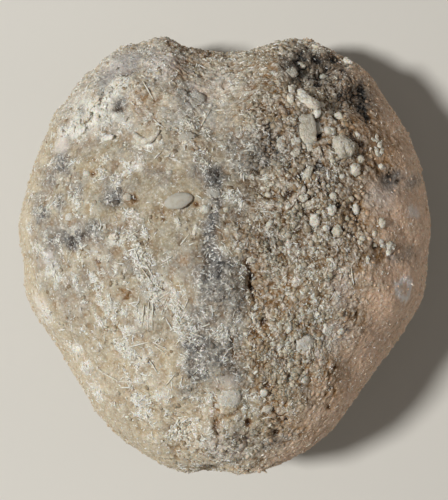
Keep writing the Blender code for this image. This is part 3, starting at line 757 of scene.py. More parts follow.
    def grainy(self, point: Array, bent: Array, seen: Array, rough: Array, rim: Array) -> Array:
        """Height of the grains and of the rim's teeth, which fall off from seed points, less the holes.

        Args:
            point: places on the worn body.
            bent: the same places, carried off so that outlines waver.
            seen: 0 where a place belongs to the underside.
            rough: how rough each place is.
            rim: how near each is to the rim.

        Returns:
            The height along the normals.
        """
        grain, tooth, hole = cells(bent, 0.55, 26), cells(point, 0.85, 28), cells(bent, 2.3, 23)
        height = (0.05 * seen + 0.02 + 0.04 * rim) * (1.0 - 1.6 * grain.near + 0.8 * (grain.value - 0.5))
        height += 0.16 * rim * smooth_step(0.62, 0.1, tooth.near) * (0.3 + 0.9 * tooth.value)
        return height - (0.02 + 0.4 * rough) * smooth_step(0.62, 0.75, hole.value) * bell(hole.near / 0.22)

    def at(self, angle: Array, fall: Array) -> Marks:
        """All that is known of some places on the skin.

        Args:
            angle: directions round the upright axis.
            fall: ways down from the crown.

        Returns:
            The worn point, its smooth normal, its plan place, its fall and what the relief gives.
        """
        base = self.form.settled(angle, fall)
        plan = self.eye.plan(base)
        fine = self.relief(base, plan, fall)
        point = self.form.settled(angle, fall, fine["height"])
        return {"point": point, "normal": self.form.normals(angle, fall), "plan": plan, "fall": fall, **fine}

    def find(self, plan: Array) -> tuple[Array, Array]:
        """The angle and fall of plan places on the back, by stepping towards each one's line of sight."""
        guess = self.eye.under(plan, np.full(plan.shape[:-1], 20.0)) + self.form.middle
        for _ in range(12):
            angle = np.arctan2(guess[..., 1], guess[..., 0])
            out = np.hypot(guess[..., 0], guess[..., 1]) / self.form.outline_radius(angle)
            fall = np.arcsin(np.clip(out, 0.0, 0.999))
            guess = guess + 0.8 * (plan - self.eye.plan(self.form.settled(angle, fall)))
        return angle, fall


# ---------------------------------------------------------------- meshes


def make_object(name: str, points: Array, faces: Array, marks: Marks) -> bpy.types.Object:
    """Puts points and triangles into a new smooth mesh object at the origin.

    Args:
        name: the piece's name.
        points: vertex places in millimetres; any below the surface that the fossil rests on is raised to it.
        faces: three vertex numbers for each triangle.
        marks: a named value for each vertex, for the finish to read.

    Returns:
        The new object.
    """
    mesh = bpy.data.meshes.new(name)
    points = np.concatenate([points[:, :2], np.maximum(points[:, 2:], 0.0)], axis=1)
    mesh.vertices.add(len(points))
    mesh.vertices.foreach_set("co", np.ascontiguousarray(points * MM, np.float32).ravel())
    mesh.loops.add(faces.size)
    mesh.loops.foreach_set("vertex_index", faces.astype(np.int32).ravel())
    mesh.polygons.add(len(faces))
    mesh.polygons.foreach_set("loop_start", np.arange(0, faces.size, 3, dtype=np.int32))
    mesh.polygons.foreach_set("use_smooth", np.ones(len(faces), bool))
    for mark, values in marks.items():
        layer = mesh.attributes.new(mark, "FLOAT", "POINT")
        layer.data.foreach_set("value", values.astype(np.float32))
    mesh.update()
    mesh.validate()
    piece = bpy.data.objects.new(name, mesh)
    bpy.context.scene.collection.objects.link(piece)
    return piece


def ring_band(upper: int, lower: int, shift_upper: int, shift_lower: int) -> Array:
    """Triangles between two rings of evenly spread vertices with unlike counts.

    The middles of both rings' edges are merged in order of angle: each edge joins to the vertex of
    the other ring whose own two edges' middles lie on either side of it. Whole numbers keep ties even.

    Args:
        upper: how many vertices the upper ring has, numbered from 0.
        lower: how many the lower ring has, numbered after the upper ones.
        shift_upper: 1 where the upper ring is turned by half a vertex step, or else 0.
        shift_lower: the same for the lower ring.

    Returns:
        Three vertex numbers for each triangle.
    """
    i = np.arange(upper)
    j = np.arange(lower)
    middle_up = (2 * i + 1 + shift_upper) * lower
    middle_low = (2 * j + 1 + shift_lower) * upper
    apex_low = -((upper * (1 + shift_lower) - middle_up) // (2 * upper)) % lower
    apex_up = ((middle_low - lower * (1 + shift_upper)) // (2 * lower) + 1) % upper
    first = np.stack([i, upper + apex_low, (i + 1) % upper], axis=-1)
    second = np.stack([upper + j, upper + (j + 1) % lower, apex_up], axis=-1)
    return np.concatenate([first, second])


@dataclass
class StoneBody:
    """The stone itself: rings of vertices from the crown to the middle of the base."""

    skin: Skin
    back_pitch: float = 0.2
    base_pitch: float = 0.8

    def pitch(self, fall: Array) -> Array:
        """Wished distance between vertices: even on the back and sides, wider under the base."""
        return self.back_pitch + (self.base_pitch - self.back_pitch) * smooth_step(1.6, 2.1, fall)

    def rings(self) -> tuple[Array, Array]:
        """The fall and the vertex count of each ring, from the form's girth and the wished pitch."""
        fall = np.linspace(0.0, HALF_TURN, 4000)
        angles = np.linspace(0.0, TURN, 48, endpoint=False)
        grid = self.skin.form.smooth_skin(angles[:, None], fall[None, :])
        steps = np.linalg.norm(np.diff(grid, axis=1), axis=-1).mean(axis=0)
        rows = np.concatenate([[0.0], np.cumsum(steps / (0.9 * self.pitch(0.5 * (fall[1:] + fall[:-1]))))])
        count = int(rows[-1])
        levels = np.interp(np.arange(1, count) * rows[-1] / count, rows, fall)
        girth = TURN * np.hypot(grid[..., 0], grid[..., 1]).mean(axis=0)
        numbers = np.maximum(np.round(np.interp(levels, fall, girth) / self.pitch(levels)), 6)
        return levels, numbers.astype(int)

    def grid(self) -> tuple[Array, Array, Array]:
        """Angles and falls of all vertices, and the triangles between them, poles included."""
        levels, numbers = self.rings()
        shifts = np.arange(len(levels)) % 2
        starts = 1 + np.concatenate([[0], np.cumsum(numbers)])
        angle = np.concatenate([(np.arange(n) + 0.5 * t) * TURN / n for n, t in zip(numbers, shifts)])
        fall = np.repeat(levels, numbers)
        faces = []
        for k in range(len(levels) - 1):
            faces.append(ring_band(numbers[k], numbers[k + 1], shifts[k], shifts[k + 1]) + starts[k])
        first, last = np.arange(numbers[0]), np.arange(numbers[-1])
        faces.append(np.stack([0 * first, first + 1, (first + 1) % numbers[0] + 1], axis=-1))
        low = starts[-2]
        faces.append(np.stack([0 * last + starts[-1], low + (last + 1) % numbers[-1], low + last], axis=-1))
        angle = np.concatenate([[0.0], angle, [0.0]])
        fall = np.concatenate([[0.0], fall, [HALF_TURN]])
        return angle, fall, np.concatenate(faces)

    def spread(self, values: Array, faces: Array, rounds: int) -> Array:
        """Values averaged with their neighbours along the triangles' edges, some rounds over."""
        ends = np.concatenate([faces[:, [0, 1]], faces[:, [1, 2]], faces[:, [2, 0]]])
        size = len(values)
        degree = np.bincount(ends[:, 0], minlength=size) + np.bincount(ends[:, 1], minlength=size)
        for _ in range(rounds):
            total = np.bincount(ends[:, 0], values[ends[:, 1]], size)
            total += np.bincount(ends[:, 1], values[ends[:, 0]], size)
            values = 0.3 * values + 0.7 * total / degree
        return values

    def marks(self, place: Marks, faces: Array) -> Marks:
        """What the finish reads at each vertex, from 0 to 1: hollows for painted shade, crests for painted
        highlight, tints and faces.
        """
        face = self.skin.coarseness(place["plan"], place["fall"])
        seen = 1.0 - face[Side.UNDER]
        height = place["height"]
        lower = self.spread(height, faces, 14) - height
        wide = self.spread(height, faces, 60) - height
        point = place["point"]
        plan = place["plan"] + 0.45 * drift(point, 1.6, (81, 82)) + 0.22 * drift(point, 0.6, (83, 84))
        mottle = smooth_step(0.25, 0.75, smooth_noise(point, 2.6, 85)) * face[Side.UNDER] * 0.5
        across, along = plan[..., 0], plan[..., 1]
        low_left = smooth_step(2.0, -9.0, across) * smooth_step(-3.0, -12.0, along)
        low_end = smooth_step(-14.0, -20.0, along)
        front = smooth_step(12.0, 17.0, along) * smooth_step(5.0, -1.0, across) * seen
        high = smooth_step(1.9, 1.5, place["fall"])
        stained = seen * high
        flank = face[Side.FLANK]
        carried = {name: place[name] for name in ("pit", "seam", "frost", "tone")}
        stains = {"deep": DEEP, "amber": AMBER, "dark_stain_and_shadow": DARK_STAIN_AND_SHADOW}
        carried |= {name: covered(patches, plan) * stained for name, patches in stains.items()}
        return {
            **carried,
            "front": front,
            # Hollows carry painted shade into the finish, and crests a painted highlight.
            "hollow_shade": np.clip(0.5 * lower / 0.10 + 0.5 * wide / 0.22, 0.0, 1.0),
            "crest_highlight": np.clip(-lower / 0.10, 0.0, 1.0),
            "milk": stained * np.maximum(covered(MILK, plan), self.skin.ring(plan)),
            "blue_grey": np.clip(covered(BLUE_GREY, plan) * stained + mottle, 0.0, 1.0),
            "crust": crusted(plan) * stained,
            "cream": seen * np.clip(flank * (across < 0) + 0.6 * low_left + 0.9 * low_end, 0.0, 1.0),
            # The rosy right flank is partly the stone's own warm tint and partly painted reflected light.
            "rosy_tint_and_reflection": flank * (across > 0) * (0.5 + 0.5 * high),
            "bare": covered(BARE, plan) * seen,
            "coarse": face[Side.COARSE] * (1.0 - 0.75 * low_end) * (1.0 - 0.75 * front),
        }

    def build(self) -> tuple[bpy.types.Object, Marks]:
        """The stone's object and the places of its vertices, for what is cemented to it."""
        angle, fall, faces = self.grid()
        place = self.skin.at(angle, fall)
        marks = self.marks(place, faces)
        piece = make_object("stone_skin", place["point"], faces, marks)
        marks["area"] = (self.pitch(fall) / self.back_pitch) ** 2
        return piece, {**place, **marks}


# ---------------------------------------------------------------- what is cemented to the stone


def upright_frames(normals: Array, turns: Array) -> Array:
    """Three axes for each piece: one in the skin turned by its angle, one across it, one outwards."""
    steep = np.abs(normals[:, 2:3]) > 0.9
    helper = np.where(steep, np.array([[0.0, 1.0, 0.0]]), np.array([[0.0, 0.0, 1.0]]))
    east = unit(np.cross(helper, normals))
    north = np.cross(normals, east)
    cos, sin = np.cos(turns)[:, None], np.sin(turns)[:, None]
    return np.stack([cos * east + sin * north, cos * north - sin * east, normals], axis=1)


def copies(template: Array, faces: Array, centres: Array, axes: Array) -> tuple[Array, Array]:
    """Many copies of a shape as one mesh, each point a sum of the copy's axes times its coordinates.

    Args:
        template: each copy's own points, or one set for all.
        faces: the template's triangles.
        centres: where each copy goes.
        axes: each copy's three axes.

    Returns:
        All points and all triangles.
    """
    count, size = len(centres), template.shape[-2]
    each = np.broadcast_to(template, (count, size, 3))
    points = centres[:, None, :] + np.einsum("nvk,nkc->nvc", each, axes)
    numbers = faces[None, :, :] + (np.arange(count) * size)[:, None, None]
    return points.reshape(-1, 3), numbers.reshape(-1, 3)


def pole_faces(rings: int, sides: int) -> Array:
    """Triangles over rings of points between two poles, numbered from the top pole down."""
    number = 1 + np.arange(rings * sides).reshape(rings, sides)
    after = np.roll(number, -1, axis=1)
    top = np.stack([np.zeros(sides, int), number[0], after[0]], axis=-1)
    end = np.stack([np.full(sides, rings * sides + 1), after[-1], number[-1]], axis=-1)
    one = np.stack([number[:-1], number[1:], after[1:]], axis=-1).reshape(-1, 3)
    two = np.stack([number[:-1], after[1:], after[:-1]], axis=-1).reshape(-1, 3)
    return np.concatenate([top, one, two, end])


def ball(rings: int, sides: int) -> tuple[Array, Array]:
    """A unit ball as rings of points between two poles, and its triangles."""
    down = np.arange(1, rings + 1) * HALF_TURN / (rings + 1)
    phi, theta = np.meshgrid(down, np.arange(sides) * TURN / sides, indexing="ij")
    belt = np.stack([np.sin(phi) * np.cos(theta), np.sin(phi) * np.sin(theta), np.cos(phi)], axis=-1)
    points = np.concatenate([[[0.0, 0.0, 1.0]], belt.reshape(-1, 3), [[0.0, 0.0, -1.0]]])
    return points, pole_faces(rings, sides)


def twenty_faces() -> tuple[Array, Array]:
    """A unit icosahedron: two poles and two belts of five points, and its triangles."""
    turn = np.arange(5) * TURN / 5
    level, reach = 1 / math.sqrt(5), 2 / math.sqrt(5)
    upper, lower = (np.stack([reach * np.cos(way), reach * np.sin(way), np.full(5, high)], axis=-1)
                    for way, high in ((turn, level), (turn + HALF_TURN / 5, -level)))
    points = np.concatenate([[[0.0, 0.0, 1.0]], upper, lower, [[0.0, 0.0, -1.0]]])
    i = np.arange(5)
    after = (i + 1) % 5
    cap = np.stack([0 * i, 1 + i, 1 + after], axis=-1)
    down = np.stack([1 + i, 6 + i, 1 + after], axis=-1)
    up = np.stack([1 + after, 6 + i, 6 + after], axis=-1)
    foot = np.stack([0 * i + 11, 6 + after, 6 + i], axis=-1)
    return points, np.concatenate([cap, down, up, foot])


def eight_faces() -> tuple[Array, Array]:
    """A unit octahedron, and its triangles."""
    points = np.array([[1, 0, 0], [0, 1, 0], [-1, 0, 0], [0, -1, 0], [0, 0, 1], [0, 0, -1]], float)
    belt = np.arange(4)
    after = (belt + 1) % 4
    upper = np.stack([belt, after, 0 * belt + 4], axis=-1)
    lower = np.stack([after, belt, 0 * belt + 5], axis=-1)
    return points, np.concatenate([upper, lower])


def rod(sides: int, shares: tuple[float, ...], widths: tuple[float, ...]) -> tuple[Array, Array]:
    """A rod along x from -1 to 1 with a radius at each share of its way, closed by a point at each end."""
    way, theta = np.meshgrid(2 * np.array(shares) - 1, np.arange(sides) * TURN / sides, indexing="ij")
    radius = np.array(widths)[:, None]
    belt = np.stack([way, radius * np.cos(theta), radius * np.sin(theta)], axis=-1)
    points = np.concatenate([[[-1.0, 0.0, 0.0]], belt.reshape(-1, 3), [[1.0, 0.0, 0.0]]])
    return points, pole_faces(len(shares), sides)[:, TURNED_OVER]


@dataclass(frozen=True)
class Litter:
    """One kind of small thing that lies strewn over the stone.

    The count is how many there are, or for crystals on lumps how many to a square millimetre. The
    sizes are the smallest and the largest half length, and the skew is the power that makes large
    ones rare. Slender and stout are the least and the most of a half length along each axis.
    """

    name: str
    finish: "ChipFinish"
    shape: tuple[Array, Array]
    count: int
    sizes: tuple[float, float]
    skew: float
    slender: tuple[float, float, float] = (0.9, 0.55, 0.45)
    stout: tuple[float, float, float] = (1.2, 0.95, 0.85)
    uneven: float = 0.28
    lean: float = 0.5
    sunk: float = 0.2
    smooth: bool = False


@dataclass(frozen=True)
class Lumps:
    """One kind of larger lump, at named plan places: rounded blocks broken into crystal faces.

    A place is across, along, whole length, whole width and turn in degrees, and for some their own
    share sunk. Block is 1 for a ball and smaller for a squarer block, rough the unevenness as a
    share of the radius, thick the half height as a share of the half width, and sunk the share of
    the half height that each middle lies under the skin.
    """

    name: str
    finish: "ChipFinish"
    places: Rows
    block: float
    rough: float
    thick: float
    sunk: float


@dataclass
class Cemented:
    """Small things cemented to the stone, strewn over its vertices or put at named places.

    The rod rings are the shares of a fallen spine's way and the radii there; the taper is a long
    spine's radii as shares of the thickest; the noise gap keeps the lumps' noise from repeating.
    """

    skin: Skin
    ground: Marks
    draws: np.random.Generator
    ball_rings: int = 13
    ball_sides: int = 22
    rod_sides: int = 4
    rod_rings: tuple[tuple[float, ...], tuple[float, ...]] = ((0.03, 0.5, 0.95), (0.9, 1.0, 0.6))
    tube_sides: int = 6
    taper: tuple[float, ...] = (0.55, 0.85, 1.0, 1.0, 0.95, 0.9, 0.8, 0.65, 0.4)
    noise_gap: float = 7.3
    crusted: list[tuple[Array, Array, Array]] = field(default_factory=list)

    def strewn(self, count: int, weight: Array) -> Array:
        """The vertices chosen for some pieces, each vertex at most once, likelier by its weight."""
        share = np.clip(weight, 0.0, None) * self.ground["area"]
        return self.draws.choice(len(share), count, replace=False, p=share / share.sum())

    def carried(self, at: Array, size: int) -> Marks:
        """What the vertices of each copy carry: a tint of its own, and the stains of the stone under it with
        their painted shadow and painted reflection.
        """
        marks = {"tint": self.tints(len(at), size)}
        for name in ("blue_grey", "dark_stain_and_shadow", "rosy_tint_and_reflection", "amber"):
            marks[name] = np.repeat(self.ground[name][at], size)
        return marks

    def leaning(self, normals: Array, amount: float) -> Array:
        """Axes for each copy: its normal leant over at random by some amount, and turned any way."""
        leant = unit(normals + self.draws.normal(0.0, amount, normals.shape))
        return upright_frames(leant, self.draws.uniform(0, TURN, len(normals)))

    def tints(self, count: int, size: int) -> Array:
        """A tint of its own for each copy, on all of its vertices."""
        return np.repeat(self.draws.random(count), size)

    def strew(self, kind: Litter, weight: Array) -> bpy.types.Object:
        """Copies of a kind's shape, stretched, made uneven, turned all ways and part sunk.

        Args:
            kind: what is strewn.
            weight: how likely each vertex of the stone is to carry one.

        Returns:
            One object that holds them all.
        """
        at = self.strewn(kind.count, weight)
        marks = self.carried(at, len(kind.shape[0]))
        return self.scatter(kind, self.ground["point"][at], self.ground["normal"][at], marks)

    def scatter(self, kind: Litter, spots: Array, normals: Array, marks: Marks) -> bpy.types.Object:
        """Copies of a kind's shape at given places.

        Args:
            kind: what is scattered.
            spots: a place for each copy.
            normals: which way is outwards at each.
            marks: what the copies' vertices carry.

        Returns:
            One object that holds them all.
        """
        points, faces = kind.shape
        count = len(spots)
        long = kind.sizes[0] + (kind.sizes[1] - kind.sizes[0]) * self.draws.random(count) ** kind.skew
        halves = long[:, None] * self.draws.uniform(kind.slender, kind.stout, (count, 3))
        uneven = 1.0 + self.draws.uniform(-kind.uneven, 0.9 * kind.uneven, (count, len(points), 1))
        axes = self.leaning(normals, kind.lean)
        centres = spots - normals * (kind.sunk * halves[:, 2:3])
        all_points, all_faces = copies(points * uneven, faces, centres, axes * halves[:, :, None])
        piece = make_object(kind.name, all_points, all_faces, marks)
        piece.data.polygons.foreach_set("use_smooth", np.full(len(all_faces), kind.smooth))
        return piece

    def spines(self, count: int, weight: Array) -> bpy.types.Object:
        """Fallen spines: thin tapered rods, a little bent, lying on the skin at all angles."""
        at = self.strewn(count, weight)
        points, faces = rod(self.rod_sides, *self.rod_rings)
        half = 0.5 * (0.25 + 0.95 * self.draws.random(count) ** 2.2)
        radius = self.draws.uniform(0.045, 0.09, count)
        normals = self.ground["normal"][at]
        axes = self.leaning(normals, 0.14)
        bend = self.draws.normal(0.0, 0.14, count) * half
        shape = np.broadcast_to(points, (count, *points.shape)).copy()
        shape[..., 1] = shape[..., 1] * radius[:, None] + bend[:, None] * (1.0 - points[:, 0] ** 2)
        shape[..., 2] = shape[..., 2] * radius[:, None] - 0.02 * half[:, None] * points[:, 0] ** 2
        shape[..., 0] = shape[..., 0] * half[:, None]
        centres = self.ground["point"][at] + normals * self.draws.uniform(-0.03, 0.03, (count, 1))
        all_points, all_faces = copies(shape, faces, centres, axes)
        return make_object("fallen_spines", all_points, all_faces, self.carried(at, len(points)))

    def placed(self, kind: Lumps) -> bpy.types.Object:
        """All lumps of a kind as one object.

        A lump is a ball whose points are pushed out towards a block by a power below 1 of their
        coordinates, then moved in and out by smooth noise and by leaning cells.
        """
        rows = np.array([(*row, kind.sunk)[:6] for row in kind.places], float)
        spot = self.skin.at(*self.skin.find(rows[:, :2]))
        points, faces = ball(self.ball_rings, self.ball_sides)
        blocky = np.sign(points) * np.abs(points) ** kind.block
        long, wide = rows[:, 2], rows[:, 3]
        halves = np.stack([long, wide, kind.thick * np.minimum(long, wide)], axis=-1) / 2
        shape = blocky * halves[:, None, :]
        away = shape + np.arange(len(rows))[:, None, None] * self.noise_gap
        swell = smooth_noise(away, 0.6, 41) + 0.7 * smooth_noise(away, 0.26, 42)
        swell += 1.6 * cells(away, 0.42, 43).lean
        shape = shape * (1.0 + (kind.rough * swell)[..., None])
        centres = spot["point"] - spot["normal"] * (rows[:, 5:] * halves[:, 2:3])
        axes = self.turned_in_plan(spot["normal"], np.radians(rows[:, 4]))
        all_points, all_faces = copies(shape, faces, centres, axes)
        grey = np.repeat(0.6 * covered(BLUE_GREY, rows[:, :2]), len(points))
        self.crusted.append((all_points.reshape(len(rows), -1, 3), centres, long * wide))
        marks = {"tint": self.tints(len(rows), len(points)), "blue_grey": grey}
        return make_object(kind.name, all_points, all_faces, marks)

    def crystals(self, kind: Litter) -> bpy.types.Object:
        """Small crystals on the lumps put down so far, as many on each as its size in plan asks for."""
        spots, outward = [], []
        for points, centres, areas in self.crusted:
            number = np.round(kind.count * areas).astype(int)
            owner = np.repeat(np.arange(len(areas)), number)
            spot = points[owner, self.draws.integers(0, points.shape[1], len(owner))]
            spots.append(spot)
            outward.append(unit(spot - centres[owner]))
        spots, outward = np.concatenate(spots), np.concatenate(outward)
        return self.scatter(kind, spots, outward, {"tint": self.tints(len(spots), len(kind.shape[0]))})

    def laid(self, name: str, lines: Rows, radius: float, lift: float) -> bpy.types.Object:
        """Long spines along named plan lines: tapered tubes that follow the skin.

        A tube's rings stand across its path: each point is the path plus the radius times the
        cosine of its angle along the path's side and the sine along the skin's normal.

        Args:
            name: the piece's name.
            lines: across and along of each line's two ends, and for some how far the middle sags.
            radius: the thickest radius.
            lift: how many radii the tube's middle stands above the skin.

        Returns:
            One object that holds them all.
        """
        rows = np.array([(*line, 0.0)[:5] for line in lines], float)
        ends = rows[:, :4].reshape(-1, 2, 2)
        way = np.linspace(0.0, 1.0, len(self.taper))
        plan = ends[:, :1] * (1 - way)[None, :, None] + ends[:, 1:] * way[None, :, None]
        plan[..., 1] += rows[:, 4:] * 4.0 * way * (1.0 - way)
        spot = self.skin.at(*self.skin.find(plan))
        normal, path = spot["normal"], spot["point"]
        for _ in range(3):
            path[:, 1:-1] = 0.5 * path[:, 1:-1] + 0.25 * (path[:, :-2] + path[:, 2:])
        path = path + normal * lift * radius
        side = unit(np.cross(normal, np.gradient(path, axis=1)))
        turn = np.arange(self.tube_sides) * TURN / self.tube_sides
        width = radius * np.array(self.taper)
        reach = np.cos(turn)[:, None] * side[:, :, None, :] + np.sin(turn)[:, None] * normal[:, :, None, :]
        belt = path[:, :, None, :] + width[None, :, None, None] * reach
        points = np.concatenate([path[:, :1], belt.reshape(len(ends), -1, 3), path[:, -1:]], axis=1)
        faces = pole_faces(len(way), len(turn))[:, TURNED_OVER]
        numbers = faces[None] + (np.arange(len(ends)) * points.shape[1])[:, None, None]
        marks = {"tint": self.tints(len(ends), points.shape[1])}
        return make_object(name, points.reshape(-1, 3), numbers.reshape(-1, 3), marks)

    def turned_in_plan(self, normal: Array, turns: Array) -> Array:
        """Axes upright on each normal, the first as near as can be to each direction in plan."""
        wish = np.stack([np.cos(turns), np.sin(turns), np.zeros(len(turns))], axis=-1)
        first = unit(wish - normal * np.sum(wish * normal, axis=1, keepdims=True))
        return np.stack([first, np.cross(normal, first), normal], axis=1)


# ---------------------------------------------------------------- shader maths


@dataclass(frozen=True)
class Field:
    """A number that varies over a surface: a shader socket on which plain arithmetic works."""

    tree: "Shader"
    socket: bpy.types.NodeSocket

    def __add__(self, other: "Field | float") -> "Field":
        """The sum."""
        return self.tree.sum_of("ADD", self, other)

    def __sub__(self, other: "Field | float") -> "Field":
        """The difference."""
        return self.tree.sum_of("SUBTRACT", self, other)

    def __rsub__(self, other: float) -> "Field":
        """A number less this."""
        return self.tree.sum_of("SUBTRACT", other, self)

    def __mul__(self, other: "Field | float") -> "Field":
        """The product."""
        return self.tree.sum_of("MULTIPLY", self, other)

    __radd__ = __add__
    __rmul__ = __mul__

    def held(self) -> "Field":
        """The same, kept from 0 to 1."""
        return self.tree.sum_of("ADD", self, 0.0, clamp=True)

    def step(self, low: float, high: float) -> "Field":
        """0 below low and 1 above high, with a smooth S between."""
        node = self.tree.node("ShaderNodeMapRange", {"interpolation_type": "SMOOTHSTEP"},
                              {"Value": self, "From Min": low, "From Max": high})
        return Field(self.tree, node.outputs["Result"])


class Shader:
    """A material's node tree, with one method that makes any node."""

    def __init__(self, name: str) -> None:
        """Starts a material of some name with a Principled shader."""
        self.material = bpy.data.materials.new(name)
        self.material.use_nodes = True
        self.nodes = self.material.node_tree.nodes
        self.links = self.material.node_tree.links
        self.surface = self.nodes["Principled BSDF"]
        self.place = self.node("ShaderNodeTexCoord").outputs["Object"]
        self.colour: object = None

    def node(self, kind: str, settings: dict | None = None, inputs: dict | None = None) -> bpy.types.Node:
        """Makes a node.

        Args:
            kind: the node's type.
            settings: the node's own properties, set first.
            inputs: socket names or numbers with their values, fields, sockets or colours.

        Returns:
            The new node.
        """
        made = self.nodes.new(kind)
        for key, value in (settings or {}).items():
            setattr(made, key, value)
        for key, value in (inputs or {}).items():
            self.feed(made.inputs[key], value)
        return made

    def feed(self, socket: bpy.types.NodeSocket, value: object) -> None:
        """Links a field or socket to a socket, or sets the socket to a value."""
        if isinstance(value, Field):
            self.links.new(value.socket, socket)
        elif isinstance(value, bpy.types.NodeSocket):
            self.links.new(value, socket)
        else:
            socket.default_value = value

    def sum_of(self, operation: str, first: object, second: object, clamp: bool = False) -> Field:
        """A Math node's result from two fields or numbers."""
        settings = {"operation": operation, "use_clamp": clamp}
        return Field(self, self.node("ShaderNodeMath", settings, {0: first, 1: second}).outputs[0])

    def mark(self, name: str) -> Field:
        """A value that the mesh carries at each vertex."""
        return Field(self, self.node("ShaderNodeAttribute", {"attribute_name": name}).outputs["Fac"])

    def noise(self, size: float, detail: float = 2.0, roughness: float = 0.5) -> Field:
        """Smooth noise from 0 to 1 with lumps of some size in millimetres."""
        inputs = {"Vector": self.place, "Scale": per_mm(size), "Detail": detail, "Roughness": roughness}
        return Field(self, self.node("ShaderNodeTexNoise", None, inputs).outputs["Fac"])

    def crystals(self, size: float) -> Field:
        """A value from 0 to 1 of its own for each crystal of some size in millimetres."""
        made = self.node("ShaderNodeTexVoronoi", None, {"Vector": self.place, "Scale": per_mm(size)})
        return self.part(made.outputs["Color"], 0)

    def part(self, colour: bpy.types.NodeSocket, number: int) -> Field:
        """One of a colour's three parts."""
        return Field(self, self.node("ShaderNodeSeparateColor", None, {0: colour}).outputs[number])

    def wavering(self, size: float, waver: float) -> bpy.types.NodeSocket:
        """The place, carried off by up to some millimetres in waves of some size in millimetres."""
        inputs = {"Vector": self.place, "Scale": 0.9 / (size * MM), "Detail": 1.0}
        noise = self.node("ShaderNodeTexNoise", None, inputs).outputs["Color"]
        return self.vector_sum("MULTIPLY_ADD", noise, (2.0 * waver * MM,) * 3, self.place)

    def grains(self, size: float, waver: float) -> tuple[Field, Field]:
        """Rounded grains of some size, their outlines wavering by some width, both in millimetres.

        Returns:
            How far inside its grain each place lies, 0 at the seams, and each grain's own value.
        """
        inputs = {"Vector": self.wavering(size, waver), "Scale": per_mm(size)}
        edge = self.node("ShaderNodeTexVoronoi", {"feature": "DISTANCE_TO_EDGE"}, inputs)
        cell = self.node("ShaderNodeTexVoronoi", None, inputs)
        return Field(self, edge.outputs["Distance"]), self.part(cell.outputs["Color"], 1)

    def needles(self, place: bpy.types.NodeSocket, stroke: "Stroke") -> Field:
        """1 on short strokes that are all turned one way, and 0 between."""
        inputs = {"Vector": place, "Angle": stroke.turn}
        turned = self.node("ShaderNodeVectorRotate", {"rotation_type": "Z_AXIS"}, inputs).outputs[0]
        scale = (per_mm(stroke.length), per_mm(stroke.width), per_mm(stroke.length))
        drawn = self.vector_sum("MULTIPLY", turned, scale)
        cell = self.node("ShaderNodeTexVoronoi", None, {"Vector": drawn, "Scale": 1.0})
        kept = self.part(cell.outputs["Color"], 0).step(1.0 - stroke.share, 1.04 - stroke.share)
        return Field(self, cell.outputs["Distance"]).step(0.36, 0.26) * kept

    def vector_sum(self, operation: str, *values: object) -> bpy.types.NodeSocket:
        """A Vector Math node's result from places, colours or fixed vectors."""
        return self.node("ShaderNodeVectorMath", {"operation": operation}, dict(enumerate(values))).outputs[0]

    def blend(self, first: object, second: object, share: "Field | float") -> bpy.types.NodeSocket:
        """One colour turning into another as the share goes from 0 to 1; the node holds it in there."""
        return self.node("ShaderNodeMix", {"data_type": "RGBA"}, {0: share, 6: first, 7: second}).outputs[2]

    def coat(self, tint: object, share: "Field | float") -> None:
        """Covers the colour so far with another, wholly where the share is 1 or more."""
        self.colour = self.blend(self.colour, tint, share)

    def scaled(self, colour: object, amount: Field) -> bpy.types.NodeSocket:
        """A colour times a number."""
        inputs = {0: colour, "Scale": amount}
        return self.node("ShaderNodeVectorMath", {"operation": "SCALE"}, inputs).outputs[0]

    def bumped(self, height: Field, depth: float) -> bpy.types.NodeSocket:
        """A normal bent by a height from 0 to 1 that stands for a depth in millimetres."""
        inputs = {"Strength": 1.0, "Distance": depth * MM, "Height": height}
        return self.node("ShaderNodeBump", None, inputs).outputs["Normal"]

    def finish(self, roughness: object, normal: object, shine: float, glow: float) -> bpy.types.Material:
        """Feeds the Principled shader and returns the material; glow is how much light spreads inside."""
        inputs = {
            "Base Color": self.colour, "Roughness": roughness, "Normal": normal, "Specular IOR Level": shine,
            "Subsurface Weight": glow, "Subsurface Radius": GLOW_SPREAD, "Subsurface Scale": GLOW_REACH * MM,
        }
        for name, value in inputs.items():
            self.feed(self.surface.inputs[name], value)
        return self.material


def per_mm(size: float) -> float:
    """The scale at which a texture's lumps have some size in millimetres."""
    return 1.0 / (size * MM)


@dataclass(frozen=True)
class Stroke:
    """Short strokes drawn on the skin: millimetres long and wide, their turn, and how many are kept."""

    length: float
    width: float
    turn: float
    share: float


def srgb(red: int, green: int, blue: int) -> Colour:
    """A display colour of 0 to 255 as linear light, with full alpha."""
    parts = [value / 255.0 for value in (red, green, blue)]
    return (*[p / 12.92 if p <= 0.04045 else ((p + 0.055) / 1.055) ** 2.4 for p in parts], 1.0)


